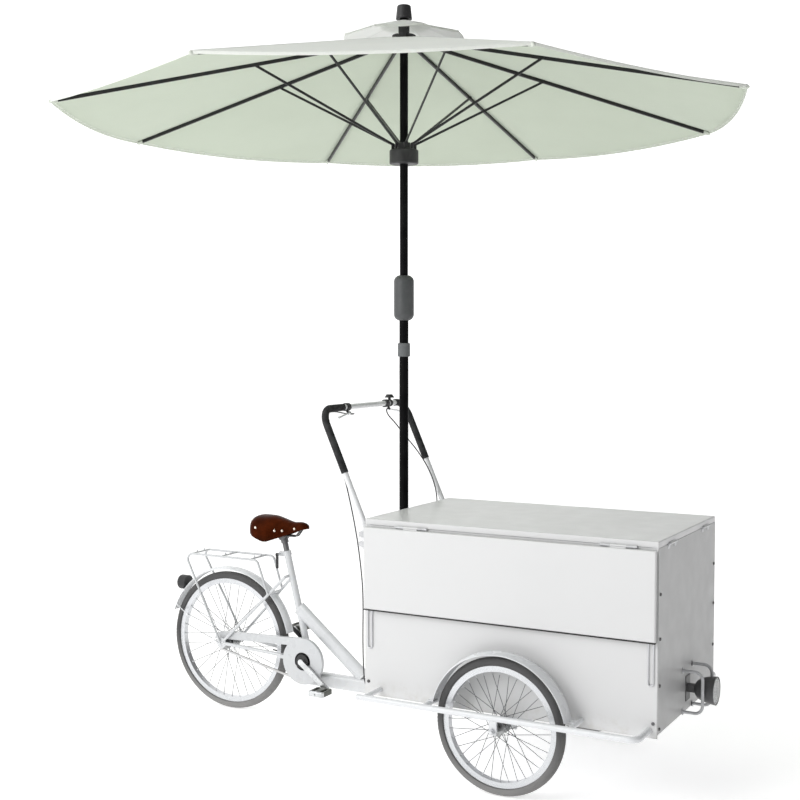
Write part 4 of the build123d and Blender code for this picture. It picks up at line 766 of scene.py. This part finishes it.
# Each rivet's share from nose to tail and lean across, on both sides.
RIVETS = ((0.213, 0.88), (0.406, 0.88), (0.518, 0.853), (0.82, 0.80), (0.93, 0.45))
RIVET_SIZE = (0.0058, 0.0058, 0.0026)
RIVET_FOOT = 0.25
STEP_ALONG, STEP_ACROSS = 0.004, 0.01


def smooth_curve(s, stations, values):
    """The line through the stations, taken at 41 places, smoothed by a running mean of seven
    of them, weighted most in the middle, and read at share s."""
    grid = np.linspace(0, 1, 41)
    line = np.pad(np.interp(grid, stations, values), 3, mode="edge")
    smooth = np.convolve(line, np.array([1, 2, 3, 4, 3, 2, 1]) / 16, mode="valid")
    return np.interp(s, grid, smooth)


def saddle_form(s, lean):
    """The hide's outside at share s from nose to tail and at lean from -1 to 1 across.

    Half width, crest and skirt height follow smooth curves through stations along the saddle.
    Across, y goes as the half width times the sine of a quarter turn each way, to the power
    SIDE_ROUND, and the height as its cosine to the power TOP_ROUND. Both ends close as a
    superellipse in plan, and the crest falls with them."""
    half = smooth_curve(s, SADDLE_STATIONS, SADDLE_HALF_WIDTHS)
    top = smooth_curve(s, CREST_STATIONS, CREST_HEIGHTS)
    low = smooth_curve(s, SADDLE_STATIONS, SADDLE_SKIRTS)
    close = np.clip(1 - np.abs(2 * s - 1) ** END_SQUARE, 0, 1) ** END_ROUND
    angle = lean * np.pi / 2
    y = half * close * np.sign(lean) * np.abs(np.sin(angle)) ** SIDE_ROUND
    z = low + (top - low) * np.abs(np.cos(angle)) ** TOP_ROUND * close ** END_FALL
    return grid_points(SADDLE_NOSE - SADDLE_LENGTH * s, y, z)


def make_saddle(hide):
    """The leather top with its skirts, on rows that lie closer towards nose and tail."""
    s = (1 - np.cos(np.linspace(0.02, np.pi - 0.02, 80))) / 2
    points = saddle_form(s[:, None], np.linspace(-1, 1, 56)[None, :])
    saddle = make_piece("saddle_hide", points, grid_faces(*points.shape[:2]), hide, "seat",
                        closed=False)
    thick = saddle.modifiers.new("hide", "SOLIDIFY")
    thick.thickness = HIDE_THICK
    thick.offset = -1.0
    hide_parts("saddle_cover")


def rivet_saddle(finish):
    """Domed rivets on the flanks and at the tail, square to the hide where they sit. The
    normal there is the cross product of two short steps along the hide, turned outwards."""
    share, tilt = np.repeat(RIVETS, 2, axis=0).T
    side = np.tile((-1, 1), len(RIVETS))
    here = saddle_form(share, side * tilt)
    along = saddle_form(share + STEP_ALONG, side * tilt) - here
    across = saddle_form(share, side * (tilt + STEP_ACROSS)) - here
    normal = np.cross(along, across)
    outward = np.sign(normal[:, 1] * side) / np.linalg.norm(normal, axis=1)
    dome = dome_points(6, 16)
    foot = dome[:1] * (0.999, 0.999, 0) - (0, 0, RIVET_FOOT)
    head = np.concatenate([foot, dome]) * RIVET_SIZE
    set_heads("saddle_rivets", head, here, normal * outward[:, None], finish, "seat")


# Small fittings -----------------------------------------------------------------------------

SCREW_RADIUS = 0.0062
HEAD_RISE, HEAD_FOOT = 0.42, 0.45
RECESS_HALF, RECESS_REACH, RECESS_DEPTH = 0.13, 0.62, 0.35
SHEET_TOP = 0.962
SCREW_DROPS = (0.166, 0.326, 0.494, 0.650)
# Where each end sheet's face lies along X, and which way it faces.
END_SHEETS = ((1.2285, 1), (0.0235, -1))
END_SCREW_Y = 0.352
SIDE_SCREW_Y = 0.3725
SIDE_SCREW_Z = 0.334
SIDE_SCREW_X = (0.042, 1.210)

# Turned shapes, each as rings of (share of the length, radius).
NIPPLE = ((0, 0.0002), (0.01, 0.0026), (0.25, 0.0026), (0.3, 0.0019), (0.98, 0.0017), (1, 0.0002))
VALVE = ((0, 0.0002), (0.01, 0.0042), (0.15, 0.0042), (0.2, 0.0034), (0.6, 0.0034),
         (0.62, 0.0030), (0.97, 0.0030), (1, 0.0002))
RIB_CAP = ((0, 0.0002), (0.01, 0.0086), (0.62, 0.0086), (0.8, 0.0078), (0.92, 0.0056),
           (0.985, 0.0026), (1, 0.0002))
NIPPLE_LENGTH = 0.015
VALVE_LENGTH = 0.034
RIB_CAP_ENDS = (-0.026, 0.010)

SPOKE_SETS = 9
SPOKE_CROSSING = 60
FLANGE_OFFSET = 0.0025
RIB_HINGE_RADIUS, RIB_HINGE_HEIGHT = 0.040, 2.935
RIB_REACH = 1.380

# A dark strip along each flap's foot is painted shadow; these give its ends, rounding, place and
# half sizes.
SHADOW_STRIP_ENDS = (0.0310, 1.2210)
SHADOW_STRIP_ROUND = 0.0008
SHADOW_STRIP_Y, SHADOW_STRIP_Z = 0.3853, 0.6257
SHADOW_STRIP_HALF_WIDTH, SHADOW_STRIP_HALF_HEIGHT = 0.0071, 0.0022


def screw_points():
    """A pan head with a cross recess: a shallow dome in units of its radius, sunk in the
    middle where it lies near either cross line."""
    dome = dome_points(12, 32)
    x, y, z = dome[..., 0], dome[..., 1], dome[..., 2]
    cross = np.minimum(np.abs(x), np.abs(y)) < RECESS_HALF
    recess = cross & (np.hypot(x, y) < RECESS_REACH)
    foot = dome[:1] * (1, 1, 0) - (0, 0, HEAD_FOOT)
    return np.concatenate([foot, grid_points(x, y, HEAD_RISE * z - RECESS_DEPTH * recess)])


def set_screws(finish):
    """Pan heads over the box's screws: down both end sheets and at the foot of the sides."""
    spots = [((x, side * END_SCREW_Y, SHEET_TOP - drop), (out, 0, 0))
             for x, out in END_SHEETS for side in (-1, 1) for drop in SCREW_DROPS]
    spots += [((x, side * SIDE_SCREW_Y, SIDE_SCREW_Z), (0, side, 0))
              for side in (-1, 1) for x in SIDE_SCREW_X]
    places, normals = np.array(spots, float).transpose(1, 0, 2)
    set_heads("panel_screws", screw_points() * SCREW_RADIUS, places, normals, finish, "carriage")


def tube_points(starts, ends, rings, sides):
    """Turned pieces along straight axes: each pair (share, radius) in rings is a ring at that
    share of the way from start to end, in a plane square to the axis."""
    starts, ends = np.asarray(starts, float), np.asarray(ends, float)
    axis = ends - starts
    axis /= np.linalg.norm(axis, axis=1, keepdims=True)
    aside = np.where(np.abs(axis[:, 2:]) < 0.9, (0.0, 0.0, 1.0), (1.0, 0.0, 0.0))
    first, second = (v[:, None, None] for v in side_vectors(axis, aside))
    turn = full_turn(sides)[None, None, :, None]
    share, radius = np.array(rings).T[:, None, :, None, None]
    middle = starts[:, None, None] + share * (ends - starts)[:, None, None]
    return middle + radius * (np.cos(turn) * first + np.sin(turn) * second)


def add_tubes(name, starts, ends, rings, finish, body, sides=12):
    """Puts turned pieces into one mesh; the first and last rings are nearly closed."""
    points = tube_points(starts, ends, rings, sides)
    each = grid_faces(*points.shape[1:3], wrap_columns=True)
    faces = repeat_faces(each, points[0, ..., 0].size, len(points))
    make_piece(name, points, faces, finish, body)


def dress_wheels(metal, rubber):
    """Spoke nipples where the thirty-six spokes of each wheel meet its rim, and a valve. A set
    of four spokes has one each way from either flange, and they meet the rim 10 degrees apart.
    At the hub, a spoke stands SPOKE_CROSSING degrees on or back from its place at the rim."""
    grid = np.meshgrid(np.arange(SPOKE_SETS), (-1, 1), (-1, 1))
    step, flange, lean = (part.ravel() for part in grid)
    at_rim = np.radians(40 * step + 10 * (flange + 1) + 5 * (lean + 1))
    at_hub = at_rim + np.radians(SPOKE_CROSSING) * lean
    for side, wheel in WHEELS.items():
        centre, rim_end, hub_end = wheel["centre"], wheel["rim_end"], wheel["hub_end"]
        tips = grid_points(rim_end * np.cos(at_rim), 0 * at_rim, rim_end * np.sin(at_rim))
        root_y = flange * (wheel["flange"] + FLANGE_OFFSET * lean)
        roots = grid_points(hub_end * np.cos(at_hub), root_y, hub_end * np.sin(at_hub))
        inward = (roots - tips) / np.linalg.norm(roots - tips, axis=1, keepdims=True)
        add_tubes(f"nipples_{side}", centre + tips, centre + tips + NIPPLE_LENGTH * inward,
                  NIPPLE, metal, f"wheel_{side}")
        turn = math.radians(wheel["valve_turn"])
        out = np.array([[math.cos(turn), 0.0, math.sin(turn)]])
        add_tubes(f"valve_{side}", centre + out * rim_end, centre + out * (rim_end - VALVE_LENGTH),
                  VALVE, rubber, f"wheel_{side}")


def cap_ribs(finish):
    """A moulded cap over the end of each rib, with a rounded nose."""
    along = np.array([math.cos(RIB_TILT), 0.0, -math.sin(RIB_TILT)])
    tip = np.array([RIB_HINGE_RADIUS + RIB_REACH, 0.0, RIB_HINGE_HEIGHT - RIB_REACH * RIB_SLOPE])
    for i in range(RIB_COUNT):
        bearing = math.radians(RIB_STEP * i)
        start, end = ([turned(tip + reach * along, bearing)] for reach in RIB_CAP_ENDS)
        add_tubes(f"rib_cap_{i + 1}", start, end, RIB_CAP, finish, f"rib_{i + 1}_body",
                  sides=20)


def squared(wave):
    """A wave pushed out towards 1 and -1, so that a circle becomes a rounded block."""
    return np.sign(wave) * np.abs(wave) ** 0.35


def shadow_flap_feet(finish):
    """A dark strip along the foot of each flap, put there as painted shadow for the shade under
    the flap's lower edge. Its section is a rounded block and its ends draw in."""
    turn = full_turn(24)[None, :]
    back, front = SHADOW_STRIP_ENDS
    x = np.array([back, back, back + SHADOW_STRIP_ROUND, front - SHADOW_STRIP_ROUND, front, front])[:, None]
    share = np.array([0.002, 0.94, 1.0, 1.0, 0.94, 0.002])[:, None]
    for side, name in ((-1, "right"), (1, "left")):
        y = side * (SHADOW_STRIP_Y + SHADOW_STRIP_HALF_WIDTH * share * squared(np.cos(turn)))
        z = SHADOW_STRIP_Z + SHADOW_STRIP_HALF_HEIGHT * share * squared(np.sin(turn))
        points = grid_points(x, y, z)
        faces = grid_faces(*points.shape[:2], wrap_columns=True)
        make_piece(f"flap_shadow_strip_{name}", points, faces, finish, f"flap_{name}_body")


# The scene ----------------------------------------------------------------------------------


def paint_nodes(finishes):
    """Gives each CAD node its finish."""
    for material, names in finishes:
        for name in names:
            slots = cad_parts[name].data.materials
            for index in range(len(slots)):
                slots[index] = material


place_camera()
lay_floor()
light_room()

gloss = {"roughness": 0.26, "peel": 900.0, "coat": 0.35, "dust": (0.02, 0.35)}
powder = {"colour": (0.635, 0.636, 0.640), "shade": (0.625, 0.626, 0.630), "roughness": 0.42,
          "peel": 1400.0, "coat": 0.08, "dust": (0.28, 0.36)}
white = paint_finish("frame_gloss", (0.74, 0.75, 0.77), (0.68, 0.69, 0.71), **gloss)
# The rear frame, chain case and rack take darker copies of the frame's white gloss: painted shade.
rear_white_shaded = paint_finish("rear_gloss_shaded", (0.62, 0.63, 0.645), (0.55, 0.56, 0.575), **gloss)
case_white_shaded = paint_finish("case_gloss_shaded", (0.56, 0.57, 0.585), (0.49, 0.50, 0.51),
                          **{**gloss, "roughness": 0.28})
bar_silver = paint_finish("bar_silver", (0.76, 0.765, 0.78), (0.70, 0.705, 0.72), roughness=0.24,
                          peel=900.0, coat=0.5, dust=(0.30, 0.55))
panel = paint_finish("panel_powder", **powder)
# The box shell's front sheet, past X 1.2225, carries painted shade.
shell = paint_finish("shell_powder_front_shade", **powder, front_shade_x=1.2225)

steel = metal_finish("fitting_zinc", (0.62, 0.63, 0.65), (0.46, 0.46, 0.47), 0.34)
bright = metal_finish("bar_bright", (0.90, 0.905, 0.92), (0.80, 0.81, 0.83), 0.44,
                      stretch=(1, 0.05, 1))
dark_steel = metal_finish("drive_steel", (0.20, 0.20, 0.205), (0.10, 0.097, 0.095), 0.40)
chain_nickel = metal_finish("chain_nickel", (0.62, 0.62, 0.63), (0.42, 0.41, 0.40), 0.36)
rivet_nickel = metal_finish("rivet_nickel", (0.78, 0.72, 0.66), (0.60, 0.52, 0.44), 0.24)

black_part = moulded_finish("fitting_black", (0.016, 0.016, 0.017), (0.035, 0.035, 0.036), 0.45)
rib_black = moulded_finish("rib_black", (0.010, 0.010, 0.011), (0.020, 0.020, 0.022), 0.36,
                           grain=900.0, depth=0.0001)
pod_grey = moulded_finish("pod_grey", (0.060, 0.063, 0.066), (0.090, 0.092, 0.095), 0.48,
                          grain=1200.0)
cable_skin = moulded_finish("cable_skin", (0.012, 0.012, 0.013), (0.028, 0.028, 0.03), 0.4)
# The rib caps take the sage of the shaded underside: painted shade.
rib_pocket_shaded = moulded_finish("rib_pocket_shaded", (0.58, 0.61, 0.55), (0.50, 0.53, 0.47), 0.6)
# Near black for the painted shadow strip under each flap.
flap_shadow_black = moulded_finish("flap_shadow_black", (0.020, 0.020, 0.021), (0.045, 0.044, 0.042), 0.6)

lamp_shell = two_tone_finish("lamp_shell", 0.0560, (0.07, 0.07, 0.073), (0.50, 0.505, 0.52),
                             metal=(0.0, 0.0), roughness=0.38)
crank_metal = two_tone_finish("crank_metal", 0.0690, (0.014, 0.014, 0.015), (0.66, 0.67, 0.68),
                              metal=(0.0, 1.0), roughness=0.28)
box_fitting = two_tone_finish("box_fitting", 0.4500, (0.58, 0.585, 0.60), (0.60, 0.61, 0.63),
                              metal=(0.0, 1.0), roughness=0.38)
pedal_cage = two_tone_finish("pedal_cage", 0.1560, (0.075, 0.078, 0.066), (0.62, 0.63, 0.64),
                             metal=(0.3, 1.0), roughness=0.34)

binding = (0.88, 0.89, 0.86)
# The cloth's underside is a darker sage copy of its upper side: painted shade under the canopy.
cloth_under_shaded = cloth_finish("cloth_under_shaded", (0.625, 0.685, 0.575), (0.60, 0.66, 0.55), binding, 0.35)
cloth_upper = cloth_finish("cloth_upper", (0.85, 0.86, 0.84), (0.82, 0.83, 0.81), binding, 0.35)
# The vent's cloth is a lighter copy of the roof's: painted light for the light that comes through
# it.
vent_under_painted_light = cloth_finish("vent_under_painted_light", (0.92, 0.93, 0.91), (0.88, 0.89, 0.87), binding, 0.88)
vent_upper_painted_light = cloth_finish("vent_upper_painted_light", (0.92, 0.925, 0.915), (0.88, 0.885, 0.875), binding, 0.88)

hide = leather_finish()
tyre_rubber = {side: rubber_finish(f"tyre_{side}", wheel["centre"], wheel["tread_from"])
               for side, wheel in WHEELS.items()}
wheel_metal = {side: wheel_finish(f"wheel_{side}_metal", wheel["centre"], wheel["rim_from"])
               for side, wheel in WHEELS.items()}

paint_nodes([
    (white, ["carriage_frame", "front_mudguards", "rear_mudguard"]),
    (rear_white_shaded, ["rear_frame"]),
    (case_white_shaded, ["chain_case", "rack"]),
    (panel, ["lid", "flap_left", "flap_right"]),
    (shell, ["box_shell"]),
    (box_fitting, ["box_hardware"]),
    (steel, ["flap_stays_left", "flap_stays_right"]),
    (bright, ["brake_lever_left", "brake_lever_right"]),
    (bar_silver, ["handlebar"]),
    (dark_steel, ["seatpost", "saddle_frame"]),
    (chain_nickel, ["chain"]),
    (crank_metal, ["crankset"]),
    (black_part, ["bar_fittings", "tail_light", "winch_handle", "top_hub", "runner",
                  "chainring", "seat_lever"]),
    (rib_black, [f"{part}_{i + 1}" for part in ("rib", "stretcher") for i in range(RIB_COUNT)]),
    (pod_grey, ["winch_pod"]),
    (lamp_shell, ["headlamp"]),
    (glass_finish(), ["headlamp_lens"]),
    (pedal_cage, ["pedal_left", "pedal_right"]),
    (cable_skin, ["brake_cables"]),
    (foam_finish(), ["grips"]),
    (mast_finish(), ["mast_lower", "mast_upper"]),
    (cloth_under_shaded, ["canopy"]),
    (hide, ["saddle_cover"]),
    *((wheel_metal[side], [wheel["metal"]]) for side, wheel in WHEELS.items()),
    *((tyre_rubber[side], [wheel["tyre"]]) for side, wheel in WHEELS.items()),
])

sew_canopy((cloth_upper, cloth_under_shaded), (vent_upper_painted_light, vent_under_painted_light))
fit_tyres(tyre_rubber)
make_saddle(hide)
rivet_saddle(rivet_nickel)
set_screws(dark_steel)
dress_wheels(steel, black_part)
cap_ribs(rib_pocket_shaded)
shadow_flap_feet(flap_shadow_black)
